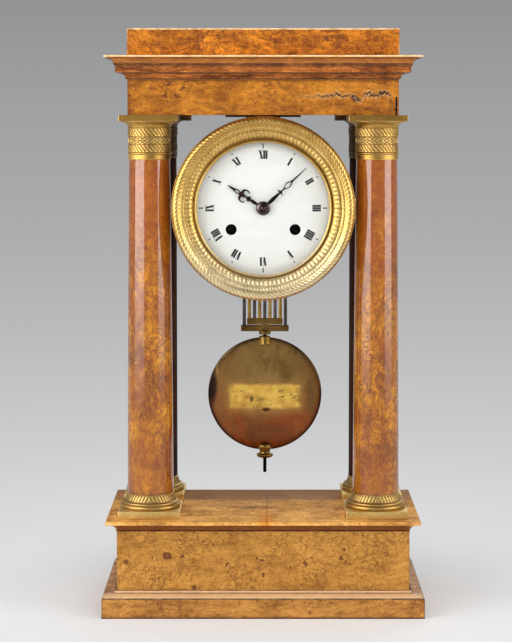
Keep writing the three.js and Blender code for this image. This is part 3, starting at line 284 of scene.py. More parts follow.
def burr_wood(name, middle, seed, streak=(1, 1, 1), knots=(), coat=0.0, rough=(0.34, 0.52), contrast=1.0,
              cluster=(0.50, 0.62), veins=0.14, extra=None, gloss=0.16):
    """Polished burr veneer: cloudy figure, curling fibre, fine veins, clusters of pin knots and a few eyes.
    middle is its middle colour, and extra adds what only this part shows."""
    finish = Finish(name)
    start = finish.place.stretched(shift=(seed * 0.37, seed * 0.21, seed * 0.13))
    wide = start.warped(20, 0.012)
    curled = wide.warped(95, 0.0032)
    drawn = curled.stretched(scale=streak)
    banded = wide.stretched(scale=[side ** 2 for side in streak])

    cloud = curled.noise(40, 4, 0.58).spread(0.34, 0.67)
    curl = drawn.noise(230, 5, 0.7).spread(0.36, 0.65)
    fibre = drawn.noise(620, 3, 0.7).spread(0.34, 0.67)
    bands = banded.noise(70, 4, 0.6).spread(0.34, 0.67)
    figure = cloud * 0.27 + curl * 0.29 + fibre * 0.22 + bands * 0.22
    colour = figure.spread(0.2, 0.8).ramp(*zip((0.0, 0.26, 0.5, 0.74, 1.0), tones_round(middle, contrast)))

    grown = start.noise(34, 3, 0.6).spread(*cluster)
    ridge = abs(curled.noise(135, 3, 0.55) - 0.5)
    vein = ridge.spread(0.05, 0.008) * (grown * 0.42 + veins)
    chance = curled.cells(470, "Color").parts("Color")
    chosen = grown * 0.34 + chance[0] > 0.84
    pin = curled.cells(470).spread(0.34, 0.2) * chosen
    ragged = start.warped(330, 0.0012)
    eyes = ragged.cells(76)
    chance = ragged.cells(76, "Color").parts("Color")
    rare = chance[0] > 0.8
    size = chance[1] * 0.05 + 0.045
    eye = (eyes - size).spread(0.015, -0.015) * rare
    halo = eyes.spread(0.34, 0.08, smooth=True) * rare

    colour = colour.mix(vein, (112, 60, 26))
    colour = colour.mix(halo * 0.3, (132, 76, 32))
    colour = colour.mix(pin * 0.8, (96, 46, 22))
    colour = colour.mix(eye * 0.85, KNOT_DARK)
    dark = pin.max(eye)
    if knots:
        body, core = knot_masks(finish, knots)
        colour = colour.mix(body * 0.9, KNOT_DARK)
        colour = colour.mix(core * 0.75, KNOT_CORE)
        dark = dark.max(body)
    if extra is not None:
        colour = extra(finish, colour)

    broken = finish.place.noise(260, 4, 0.7).spread(0.36, 0.6)
    # Painted shade together with soiling in the hollows and along the darkened edges, broken by noise
    shade_and_grime = finish.mark("hollow") * broken.spread(0, 1, 0.65, 0.95)
    colour = colour.mix(shade_and_grime, SHADE_AND_GRIME)
    worn = finish.mark("worn") * broken.spread(0, 1, 0.15 * WEAR, WEAR)
    colour = colour.mix(worn, RUBBED)

    roughness = (dark * 0.12 + finish.place.noise(34, 4, 0.6).spread(0.35, 0.68, *rough)).held()
    height = dark * -0.7 + (fibre * 0.2 + finish.place.noise(14, 2) * 2.0)
    finish.relief(height, 0.00026)
    return finish.done(colour, roughness, Coat_Weight=coat, Coat_Roughness=0.08, Coat_IOR=1.62,
                       Specular_IOR_Level=gloss)


def plain_wood(name, dark, light, rough, seed=0.0):
    """Straight-grained board, sawn or stained."""
    finish = Finish(name)
    start = finish.place.stretched(shift=(seed, seed * 0.6, seed * 0.3))
    drawn = start.warped(9, 0.004).stretched(scale=LENGTHWISE)
    rings = drawn.noise(55, 5, 0.62)
    pores = drawn.noise(420, 3, 0.7)
    cloud = start.noise(12, 3, 0.55)
    figure = pores * 0.3 + (cloud * 0.35 + rings * 0.5)
    colour = figure.ramp((0.38, dark), (0.72, light))
    colour = colour.mix(finish.mark("hollow") * 0.6, (40, 24, 14))
    roughness = start.noise(90, 3).spread(0.3, 0.7, rough - 0.08, rough + 0.1)
    finish.relief(pores + rings, 0.0004, 0.7)
    return finish.done(colour, roughness)


def gilt_metal(name, tones, rough=(0.24, 0.44), hollow_tone=(74, 46, 18), wear=0.5, extra=None):
    """Fire-gilt or lacquered brass: cloudy tone, dark in the hollows, rubbed bright on the high parts."""
    finish = Finish(name, metal=1.0)
    cloud = finish.place.warped(60, 0.002).noise(70, 5, 0.6)
    fine = finish.place.noise(GRAIN, 3, 0.6)
    figure = fine * 0.3 + cloud * 0.7
    colour = figure.ramp(*zip((0.3, 0.5, 0.7), tones))
    if extra is not None:
        colour = extra(finish, colour)
    hollow = finish.mark("hollow")
    colour = colour.mix(hollow, hollow_tone)
    colour = colour.mix(finish.mark("worn") * wear, (244, 212, 142))
    roughness = cloud.spread(0.32, 0.68, *rough)
    roughness = (hollow * 0.2 + roughness).held()
    finish.relief(cloud * 1.5 + fine, 0.00008)
    return finish.done(colour, roughness)


def drawn_metal(name, tones, rough, spots=None, lines=(1, 1, 1)):
    """Worked steel or brass with fine file lines, faint tarnish and a few darker specks."""
    finish = Finish(name, metal=1.0)
    brushed = finish.place.stretched(scale=lines).noise(GRAIN, 3, 0.6)
    cloud = finish.place.warped(50, 0.003).noise(55, 5, 0.62)
    figure = brushed * 0.35 + cloud * 0.65
    colour = figure.ramp(*zip((0.32, 0.5, 0.68), tones))
    if spots is not None:
        speck = finish.place.noise(300, 4, 0.7).spread(0.6, 0.7)
        colour = colour.mix(speck * 0.7, spots)
    colour = colour.mix(finish.mark("hollow") * 0.7, (36, 26, 16))
    roughness = cloud.spread(0.3, 0.7, rough - 0.07, rough + 0.12)
    finish.relief(brushed, 0.00004)
    return finish.done(colour, roughness)


def enamel_white():
    """Vitreous enamel: white with a breath of cloud, grey where the mesh is marked hollow, and a wet gloss."""
    finish = Finish("white_enamel")
    cloud = finish.place.noise(40, 3, 0.5)
    colour = cloud.ramp((0.3, (246, 245, 241)), (0.7, (250, 249, 246)))
    grey = finish.mark("hollow")
    colour = colour.mix(grey * 0.5, (176, 170, 158))
    roughness = finish.place.noise(120, 3).spread(0.3, 0.7, 0.1, 0.2)
    finish.relief(finish.place.noise(60, 2), 0.00015, 0.5)
    return finish.done(colour, roughness)


def dial_black():
    finish = Finish("dial_black")
    patch = finish.place.noise(700, 4, 0.7)
    colour = patch.ramp((0.35, (10, 10, 12)), (0.75, (40, 38, 40)))
    roughness = patch.spread(0.3, 0.7, 0.3, 0.5)
    return finish.done(colour, roughness)


# Patches on the bob: place from its centre, half width and height, colour and strength. The dark crescent at the left
# is a painted reflection.
BOB_PATCHES = ((-45, 5, 4, 13, (34, 26, 34), 0.9), (-41, 24, 1.2, 6, (250, 214, 120), 0.8),
              (1, -13, 3.4, 1.6, (40, 26, 16), 0.85), (-11, -4, 1.4, 2.6, (60, 40, 20), 0.8),
              (4, -36, 24, 10, (84, 58, 38), 0.5), (40, -4, 4, 16, (98, 76, 44), 0.5))


def away_from(where, x, z, half_x, half_z):
    """How far out a place on a front face is from a spot's middle: 1 at the edge of an ellipse round it."""
    off = where.vector("SUBTRACT", (x * MM, 0, z * MM))
    return off.vector("MULTIPLY", (1 / MM / half_x, 0, 1 / MM / half_z)).length()


def bob_bronze():
    """The bob's face: olive-brown above, coppery red below, with dark scratches, and a bright golden rectangle with a
    glow round it that is a painted reflection, drawn as a rubbed patch of bare brass.
    """
    centre_x, _, centre_z = bob_centre()
    finish = Finish("bob_lacquer", metal=1.0)
    cloud = finish.place.warped(30, 0.006).noise(34, 5, 0.6)
    wobble = (cloud - 0.5) * 1.2
    low = (finish.axis("Z").rise(centre_z + 18, centre_z - 24) + wobble).held()
    top = cloud.ramp((0.3, (196, 152, 86)), (0.7, (232, 190, 116)))
    foot = cloud.ramp((0.3, (118, 56, 28)), (0.7, (170, 90, 44)))
    blotch = finish.place.warped(50, 0.008).stretched(scale=(1.6, 1, 0.7)).noise(55, 5, 0.68).spread(0.5, 0.66)
    colour = top.mix(low, foot).mix(blotch * 0.45, (78, 58, 36))
    flank = (abs(finish.axis("X") - centre_x * MM).rise(16, 40) + wobble).held()
    specks = finish.place.warped(200, 0.002).cells(210).spread(0.16, 0.1)
    colour = colour.mix(flank * 0.5, (150, 84, 46)).mix(specks * 0.5, (52, 36, 24))
    # Painted reflection: a bright golden rectangle of bare brass, with a painted glow round it
    ragged = finish.place.warped(120, 0.0016)
    off = ragged.vector("SUBTRACT", (centre_x * MM, 0, (centre_z - 1.6) * MM)).vector("ABSOLUTE")
    across, _, up = off.parts()
    rubbed = across.rise(31.8, 28.2) * up.rise(11.6, 8.8)
    glow = across.rise(37, 27, smooth=True) * up.rise(18, 8, smooth=True)
    bright = finish.place.noise(90, 5, 0.65).ramp((0.35, (182, 136, 40)), (0.65, (238, 196, 88)))
    streaks = ragged.stretched(scale=(1, 1, 2.6)).noise(190, 4, 0.72)
    scratch = streaks.spread(0.56, 0.6) * finish.place.noise(60, 3, 0.6).spread(0.46, 0.56)
    scratch = scratch * (rubbed * 0.8 + 0.2)
    colour = colour.mix(glow * 0.5, (206, 152, 76)).mix(rubbed, bright).mix(scratch * 0.85, (48, 32, 16))
    # Patches on the bob; the dark crescent at the left is a painted reflection
    for x, z, half_x, half_z, tone, share in BOB_PATCHES:
        patch_mask = away_from(ragged, centre_x + x, centre_z + z, half_x, half_z).spread(1.5, 0.55, smooth=True)
        colour = colour.mix(patch_mask * share, tone)
    colour = colour.mix(finish.mark("hollow"), (46, 30, 18))
    roughness = (scratch * 0.25 + cloud.spread(0.3, 0.7, 0.12, 0.22)).held()
    finish.relief(cloud * 2.0 + streaks, 0.00005)
    return finish.done(colour, roughness, Metallic=rubbed * -0.76 + 0.9)


def clear_glass():
    """Thin glass that lets the dial show and lamps through, with a reflection that grows at the edge."""
    finish = Finish("clear_glass")
    finish.tree.nodes.remove(finish.skin)
    smear = finish.place.noise(30, 4, 0.6).spread(0.3, 0.7, 0.02, 0.07)
    gloss = finish.node("ShaderNodeBsdfAnisotropic", {"Roughness": smear})
    clear = finish.node("ShaderNodeBsdfTransparent", {"Color": (0.995, 1.0, 0.995, 1)})
    edge = finish.node("ShaderNodeFresnel", {"IOR": 1.12})
    finish.show(finish.blend(edge, clear, gloss))
    return finish.material


# Mesh helpers. A bmesh is made in millimetres and handed to piece(), which finishes it.

ACROSS = (1, 0, 0)
DEEP = (0, 1, 0)
UP = (0, 0, 1)
WELD = 0.002
MITRE_GUARD = 0.8


def fresh():
    """An empty bmesh with the two marks that the materials read: hollow for darkening (patina on metal, and on the
    wood painted shade together with soiling), worn for rubbed corners.
    """
    bm = bmesh.new()
    bm.verts.layers.float.new("hollow")
    bm.verts.layers.float.new("worn")
    return bm


def only(kind, items):
    """The vertices, edges or faces among mixed items."""
    return [item for item in items if isinstance(item, kind)]


def marks(bm):
    return bm.verts.layers.float["hollow"], bm.verts.layers.float["worn"]


def mark_creases(bm, wear, shade_and_dirt, edge_shade_and_dirt):
    """Marks convex corners as worn, or as darkened where the edge share says so, and concave ones as hollow. On the
    wood this darkening is painted shade together with soiling.
    """
    hollow, worn = marks(bm)
    for vert in bm.verts:
        if any(len(face.verts) > 12 for face in vert.link_faces):
            vert[hollow] = max(vert[hollow], 0.8 * shade_and_dirt)
            continue
        angles = [edge.calc_face_angle_signed(0.0) for edge in vert.link_edges if edge.is_manifold]
        if angles:
            convex = min(1.0, max(0.0, max(angles) - 0.35) * 2)
            concave = min(1.0, max(0.0, -min(angles) - 0.25) * 1.6)
            vert[worn] = max(vert[worn], convex * wear)
            vert[hollow] = max(vert[hollow], concave * shade_and_dirt, convex * edge_shade_and_dirt)


def piece(name, bm, slot, material, *nodes, body="case", smooth=40, creases=(1.0, 1.0, 0.0)):
    """Turns a bmesh in millimetres into a finished object that rides on a body and stands for the named nodes."""
    bmesh.ops.remove_doubles(bm, verts=bm.verts, dist=WELD)
    bmesh.ops.recalc_face_normals(bm, faces=bm.faces)
    if creases:
        mark_creases(bm, *creases)
    bmesh.ops.scale(bm, vec=(MM, MM, MM), verts=bm.verts)
    mesh = bpy.data.meshes.new(name)
    bm.to_mesh(mesh)
    bm.free()
    for face in mesh.polygons:
        face.use_smooth = True
    mesh.set_sharp_from_angle(angle=math.radians(smooth))
    mesh.materials.append(MAT[material])
    made = bpy.data.objects.new(name, mesh)
    bpy.context.scene.collection.objects.link(made)
    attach(made, body)
    if nodes:
        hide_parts(*nodes)


def arc(centre_r, centre_z, radius, start, end, steps):
    """Points on an arc, angles in degrees."""
    angles = [math.radians(start + (end - start) * i / steps) for i in range(steps + 1)]
    return [(centre_r + radius * math.cos(a), centre_z + radius * math.sin(a)) for a in angles]


def eased(points, reach=0.35, closed=False):
    """A profile with its corners rounded by reach and a guard point on each side, so wear stays at the corner."""
    last = len(points) - 1
    out = []
    for i, point in enumerate(points):
        if not closed and i in (0, last):
            out.append(tuple(point))
            continue
        here = Vector(point)
        before = Vector(points[i - 1]) - here
        after = Vector(points[(i + 1) % len(points)]) - here
        if before.length < 1e-6 or after.length < 1e-6 or before.angle(after) > math.radians(155):
            out.append(tuple(point))
            continue
        radius = min(reach, 0.3 * min(before.length, after.length))
        into, away = before.normalized(), after.normalized()
        if before.length > 7 * radius:
            out.append(tuple(here + into * radius * 3))
        out.append(tuple(here + into * radius))
        out.append(tuple(here + (into + away) * radius * 0.25))
        out.append(tuple(here + away * radius))
        if after.length > 7 * radius:
            out.append(tuple(here + away * radius * 3))
    return out


def sampled(points, pitch):
    """A profile with points added so that none are further apart than pitch."""
    out = [points[0]]
    for start, end in zip(points, points[1:]):
        a, b = Vector(start), Vector(end)
        parts = max(1, math.ceil((b - a).length / pitch))
        out += [tuple(a.lerp(b, i / parts)) for i in range(1, parts + 1)]
    return out


def spun(bm, profile, centre, axis, steps):
    """Spins (radius, along) points round an axis through centre and returns the new vertices.
    One sector is spun and then doubled until the turn is full, because one spin of many steps is slow."""
    old = set(bm.verts)
    along, at = Vector(axis), Vector(centre)
    verts = [bm.verts.new(at + Vector((r, 0, 0)) + along * a) for r, a in profile]
    edges = [bm.edges.new(pair) for pair in zip(verts, verts[1:])]
    angle, sector = TURN, steps
    while sector % 2 == 0 and sector > 24:
        angle, sector = angle / 2, sector // 2
    whole = sector == steps
    bmesh.ops.spin(bm, geom=verts + edges, cent=at, axis=along, angle=angle, steps=sector, use_merge=whole)
    while angle < TURN - 1e-6:
        made = [v for v in bm.verts if v not in old]
        geom = [*made, *{e for v in made for e in v.link_edges}, *{f for v in made for f in v.link_faces}]
        copies = only(BMVert, bmesh.ops.duplicate(bm, geom=geom)["geom"])
        bmesh.ops.rotate(bm, cent=at, matrix=Matrix.Rotation(angle, 3, along), verts=copies)
        angle *= 2
    made = [v for v in bm.verts if v not in old]
    bmesh.ops.remove_doubles(bm, verts=made, dist=WELD)
    return [v for v in bm.verts if v not in old]


def block(bm, low, high, rounding, segments=2, guards=(1.0, 3.5)):
    """A board with rounded arrises and cuts near them, where the wear stops."""
    low, high = Vector(low), Vector(high)
    verts = bmesh.ops.create_cube(bm, size=1)["verts"]
    bmesh.ops.scale(bm, vec=high - low, verts=verts)
    bmesh.ops.translate(bm, vec=(low + high) / 2, verts=verts)
    edges = list({edge for vert in verts for edge in vert.link_edges})
    made = bmesh.ops.bevel(bm, geom=edges, offset=rounding, offset_type="OFFSET", affect="EDGES",
                           segments=segments, profile=0.5, material=-1)["faces"]
    found = set()
    stack = list(made)
    while stack:
        item = stack.pop()
        for vert in item.verts:
            if vert not in found:
                found.add(vert)
                stack += vert.link_faces
    faces = {face for vert in found for face in vert.link_faces}
    for axis in range(3):
        size = high[axis] - low[axis]
        normal = Vector([1.0 if i == axis else 0.0 for i in range(3)])
        for guard in guards:
            if size < 4 * guard:
                continue
            for at in (low[axis] + guard, high[axis] - guard):
                geom = [*faces, *{e for f in faces for e in f.edges}, *{v for f in faces for v in f.verts}]
                cut = bmesh.ops.bisect_plane(bm, geom=geom, plane_co=normal * at, plane_no=normal, dist=1e-5)
                faces = set(only(BMFace, [*cut["geom"], *cut["geom_cut"]]))


def grown(bm, rim):
    """Extrudes a rim of edges. Returns the new rim and its vertices, which are still to be moved."""
    rim = only(BMEdge, bmesh.ops.extrude_edge_only(bm, edges=rim)["geom"])
    return rim, {vert for edge in rim for vert in edge.verts}


def moulding(bm, section, start, end):
    """A length of moulding: section holds (out, z) points, and start and end turn one into a place.
    A station near each mitre keeps the joint's dark line narrow."""
    first = [Vector(start(out, z)) for out, z in section]
    last = [Vector(end(out, z)) for out, z in section]
    along = (last[0] - first[0]).normalized() * MITRE_GUARD
    rim = list(bm.faces.new([bm.verts.new(place) for place in first]).edges)
    here = first
    for there in ([place + along for place in first], [place - along for place in last], last):
        rim, verts = grown(bm, rim)
        for vert in verts:
            nearest = min(range(len(section)), key=lambda i: (here[i] - vert.co).length)
            vert.co = there[nearest]
        here = there
    bmesh.ops.holes_fill(bm, edges=rim)


# Sizes of the mouldings, out from the panels and up from each moulding's foot

PLINTH_OUT = 11.8
PLINTH_FACE_H = 16.2
PLINTH_GROOVE_H = 0.8
PLINTH_FILLET_H = 1.9
COVE_OUT = 7.6
EDGE_OUT = 8.8
FASCIA_OUT = 9.2
CROWN_OUT = 18.3
BED_OUT = 3.6
BED_H = 5.35
FASCIA_H = 6.1
CROWN_EDGE_H = 1.9


# Materials of this clock. Knots are (x, z, radius) on a front face.

DIE_KNOTS = ((-78.5, 49.5, 3.6), (-66, 48.5, 1.6), (-85.5, 30.5, 1.1), (-112, 44, 2.2), (-57, 23, 2.2),
             (-4.5, 47.5, 1.2), (-0.5, 45, 1.4), (0.5, 33.5, 1.3), (-29.5, 42, 1.0), (-26, 36, 0.8),
             (34.5, 42.5, 2.3), (66, 54.5, 1.4), (64, 48, 1.7), (68, 44, 1.2), (92, 58, 0.9))
FRIEZE_KNOTS = ((-76.5, 435.5, 1.5), (-65.5, 431.5, 1.4), (-79.3, 425.5, 1.8), (-69.8, 425, 1.4),
                (-79, 420, 1.3), (-103, 431, 0.8))
ATTIC_KNOTS = ((52, 472, 1.7), (-60, 470, 0.8))
JOINT_X = 3.0
STREAKS_X = -80.0
PLATE_H = 6.5
ABACUS = 5.0
CRACK = (26.0, 104.0)
CRACK_Z = 425.0
SLOT = (108.3, 424.0)
SLOT_DEEP = 12.0
LOST = (75.0, 423.0, 3.4, 2.2)


def top_joint(finish, colour):
    """The top board's veneer: a dark joint from front to back, and a darker strip at the back, behind the columns,
    that is painted shade.
    """
    wander = finish.place.noise(60, 4, 0.6)
    off = abs(finish.axis("X") - JOINT_X * MM)
    line = (wander * 0.0008 + off).rise(1.0, 0.4)
    patch_mask = (wander * 0.008 + off).rise(13, 3, smooth=True)
    near = finish.axis("Y").rise(-20, -50)
    smudge = finish.place.stretched(scale=(0.45, 1.2, 1)).noise(30, 4, 0.66).spread(0.52, 0.66)
    # Painted shade: the back of the board, under the entablature, is darker
    back = (wander * 0.012 + finish.axis("Y")).rise(26, 38, smooth=True)
    colour = colour.mix(smudge * 0.5, (116, 66, 40)).mix(patch_mask * near * 0.85, (222, 134, 34))
    return colour.mix(line * 0.75, (92, 46, 22)).mix(back * 0.75, (138, 96, 66))


def shade_lines(finish, colour, share, *lines):
    """Broken dark lines round a moulding, each a height and a half width: painted shade in its creases, under its
    members and at its foot.
    """
    for height, half_width in lines:
        line = abs(finish.axis("Z") - height * MM).rise(half_width * 1.3, half_width * 0.6)
        broken = finish.place.noise(120, 3, 0.6).spread(0.3, 0.55, 0.45, 1.0)
        colour = colour.mix(line * broken * share, (62, 30, 16))
    return colour


def under_top(finish, colour):
    """The top board's joint, with its cove painted darker and redder as shade under the board's edge, and painted
    shade lines at the cove's foot and top.
    """
    low, high = box_of("base_top_board")
    # Painted shade in the cove under the board's edge
    cove = finish.axis("Z").rise(high.z - 2.6, high.z - 3)
    colour = top_joint(finish, colour).mix(cove * 0.9, (124, 66, 32))
    colour = shade_lines(finish, colour, 0.9, (low.z + 0.5, 0.9))
    return shade_lines(finish, colour, 0.8, (high.z - 3, 0.5))


def worn_edge_highlight(finish, colour, low, high, depth=1.5):
    """A thin pale line along the front and side top edges of a board with this box: a painted highlight together with
    rubbed wear, broken in places.
    """
    side = abs(finish.axis("X")).rise(high.x - 1.6, high.x - 0.8)
    front = finish.axis("Y").rise(low.y + 1.6, low.y + 0.8)
    line = finish.axis("Z").rise(high.z - depth, high.z - depth * 0.5) * side.max(front)
    broken = finish.place.noise(150, 4, 0.7).spread(0.36, 0.56, 0.25, 0.95)
    return colour.mix(line * broken, (250, 216, 164))


def attic_edges(finish, colour):
    """The attic board's rubbed top corners, and its top edge pale with wear and a painted highlight."""
    low, high = box_of("attic_board")
    worn = finish.place.noise(120, 4, 0.7).spread(0.42, 0.6)
    side = abs(finish.axis("X")).rise(high.x - 1.4, high.x - 0.6)
    return worn_edge_highlight(finish, colour.mix(side * worn * 0.6, (226, 180, 130)), low, high)


def shaft_reds(finish, colour):
    """The shafts turn redder towards both ends, in uneven patches."""
    z = finish.axis("Z")
    patch = finish.place.noise(22, 4, 0.62) - 0.5
    mottle = finish.place.stretched(scale=(1, 1, 0.6)).warped(60, 0.006).noise(75, 5, 0.66).spread(0.46, 0.62)
    fleck = finish.place.stretched(scale=(1, 1, 0.55)).noise(330, 3, 0.7).spread(0.6, 0.68)
    upper = (patch * 1.5 + z.rise(235, 335)).held()
    lower = (patch * 1.3 + z.rise(165, 115)).held()
    colour = colour.mix(mottle * 0.55, (142, 64, 12)).mix(fleck * 0.5, (92, 40, 14))
    colour = colour.mix(upper * 0.6, (158, 74, 24)).mix(lower * 0.4, (138, 68, 22))
    return colour.mix(z.rise(100, 96) * 0.6, (60, 26, 12))


def away_from_light(finish, colour, tint):
    """Darkens the sides of the rear columns that face the front, which stand in deep shade."""
    _, _, middle, half = spans("column_back_left_shaft")
    facing = finish.axis("Y").rise(middle.y + 0.8 * half.y, middle.y + 0.25 * half.y, smooth=True)
    return colour.mix(facing, tint, "MULTIPLY")


def rear_shade(finish, colour):
    return away_from_light(finish, shaft_reds(finish, colour), (97, 89, 160))


def rear_dim(finish, colour):
    return away_from_light(finish, colour, (115, 118, 144))


def plinth_stains_and_light(finish, colour):
    """Dark upright streaks at the left of the plinth and stained wood along its foot, a painted highlight on the
    rounded band that is weaker on the side runs, darkening on the band's side runs that is painted shade together
    with soiling, and painted shade lines in the creases and at the foot.
    """
    front = box_of("base_front_panel")[0].y
    top = box_of("plinth_moulding_front")[1].z
    streak = finish.place.stretched(scale=(1, 1, 0.12)).noise(260, 4, 0.7).spread(0.52, 0.64)
    left = abs(finish.axis("X") - STREAKS_X * MM).rise(26, 8, smooth=True)
    band = finish.axis("Z").rise(PLINTH_FACE_H - 0.2, PLINTH_FACE_H + 0.5)
    side = finish.axis("Y").rise(front - 2, front + 4)
    # The band's side runs darken: painted shade together with soiling
    shade_and_dirt = finish.place.warped(60, 0.004).noise(70, 5, 0.68).spread(0.44, 0.62) * band * (side * 0.6 + 0.12)
    low = (finish.place.noise(45, 4, 0.65) * 0.009 + finish.axis("Z")).rise(6.8, 4.0)
    # Streaks at the left, then a painted highlight on the rounded band, weaker on the side runs
    colour = colour.mix(streak * left * 0.55, (112, 60, 34)).mix(band * (side * -0.5 + 0.8), (236, 194, 148))
    # Painted shade lines in the plinth's creases and at its foot
    colour = shade_lines(finish, colour.mix(shade_and_dirt, (104, 60, 40)), 0.95, (PLINTH_FACE_H + 0.1, 0.6),
                        (top - PLINTH_FILLET_H - 0.35, 0.3), (top + 0.1, 0.45), (0, 1.5))
    return colour.mix(low * 0.5, (94, 52, 34))


def dull_ring(finish, colour):
    """A column foot is darker above its square plate."""
    plate_top = box_of("column_front_left_base")[0].z + PLATE_H
    return colour.mix(finish.axis("Z").rise(plate_top, plate_top + 0.6) * 0.75, (164, 124, 64))


def shaded_abacus(finish, colour):
    """Painted shade: the square top of a capital is darker than its chased bands."""
    under = box_of("column_front_left_capital")[1].z - ABACUS
    return colour.mix(finish.axis("Z").rise(under - 0.6, under) * 0.8, (152, 116, 56))


def ring_tone(finish, colour):
    """Painted light and shade: the bezel is browner at its top and paler at its foot."""
    centre = spans("bezel")[2].z
    colour = colour.mix(finish.axis("Z").rise(centre + 20, centre + 66) * 0.6, (202, 154, 78))
    return colour.mix(finish.axis("Z").rise(centre - 16, centre - 60) * 0.8, (255, 238, 196))


def frieze_damage_and_shade(finish, colour):
    """A ragged crack that opens towards the right end, an open slot where a sliver of veneer is lost, a painted shade
    line along its top under the cornice and a darker strip at its left end.
    """
    x, z = finish.axis("X"), finish.axis("Z")
    start, stop = CRACK
    wave = finish.place.stretched(scale=(1, 1, 0.25)).noise(200, 4, 0.68) - 0.5
    grow = x.rise(start, stop)
    off = abs(wave * (grow * 0.022 + 0.006) + (z - CRACK_Z * MM)) - (grow * 0.0014 + 0.0001)
    shown = x.rise(start - 4, start + 34) * x.rise(stop + 2, stop - 1)
    shown = shown * finish.place.noise(170, 3, 0.6).spread(0.33, 0.44)
    colour = colour.mix(off.rise(2.1, 0.8) * shown * 0.55, (222, 178, 120))
    colour = colour.mix(off.rise(0.6, 0.1) * shown * 0.92, (44, 20, 12))

    lost = away_from(finish.place.warped(150, 0.002), *LOST)
    colour = colour.mix(lost.spread(1.15, 0.85) * 0.9, (50, 26, 16)).mix(lost.spread(0.8, 0.5) * 0.8, (140, 104, 78))

    slot_x, slot_z = SLOT
    foot = slot_z - SLOT_DEEP
    slot = abs(x - slot_x * MM).rise(1.0, 0.6) * z.rise(slot_z + 0.5, slot_z)
    across = abs(z * 0.5 + (wave * 0.004 + x) - (slot_x + 0.5 * foot) * MM)
    split = across.rise(0.6, 0.2) * (z.rise(foot, foot + 1) * z.rise(slot_z, slot_z - 1))
    colour = colour.mix(slot.max(split * 0.8), (24, 12, 10))
    # Painted shade along the top, under the cornice, and a darker strip at the left end
    top = (wave * 0.004 + z).rise(436, 437.6)
    left = (wave * 0.008 + x).rise(-107.5, -109.2)
    return colour.mix(top.max(left) * 0.5, (92, 44, 18))


def cornice_damage_and_light(finish, colour):
    """Fine splits above the cornice's flat band near its right end and chipped ends, painted light on the crown, a
    painted highlight on its top edge together with wear, and painted shade lines between its members.
    """
    low, high = box_of("cornice_front")
    bed, fascia = low.z + BED_H, low.z + BED_H + FASCIA_H
    x, z = finish.axis("X"), finish.axis("Z")
    # Painted light on the crown and a painted highlight on the top edge
    crown = z.rise(fascia, fascia + 0.4) * z.rise(high.z - 1.7, high.z - 2.1)
    edge = z.rise(high.z - 1.9, high.z - 1.5)
    colour = colour.mix(crown * 0.4, (206, 138, 74)).mix(edge * 0.65, (226, 166, 96))
    colour = shade_lines(finish, colour, 0.9, (low.z + 0.2, 0.45), (bed - 0.3, 0.45), (fascia - 0.9, 0.3),
                        (fascia + 0.5, 0.9), (high.z - 2.1, 0.4))
    colour = worn_edge_highlight(finish, colour, low, high)
    chipped = abs(x).rise(124.5, 127.5) * edge * finish.place.noise(200, 4, 0.7).spread(0.42, 0.55)
    wave = finish.place.stretched(scale=(1, 1, 0.2)).noise(120, 4, 0.7)
    line = abs(wave * 0.003 + (z - fascia * MM) - 0.0006).rise(0.6, 0.2)
    return colour.mix(chipped, (240, 214, 178)).mix(line * x.rise(60, 95) * 0.85, (40, 18, 12))


DARK_HOLLOW = (60, 38, 16)
CAPITAL_GILT = ((166, 124, 54), (192, 150, 76), (216, 178, 104))
CLUSTERED = (0.42, 0.54)

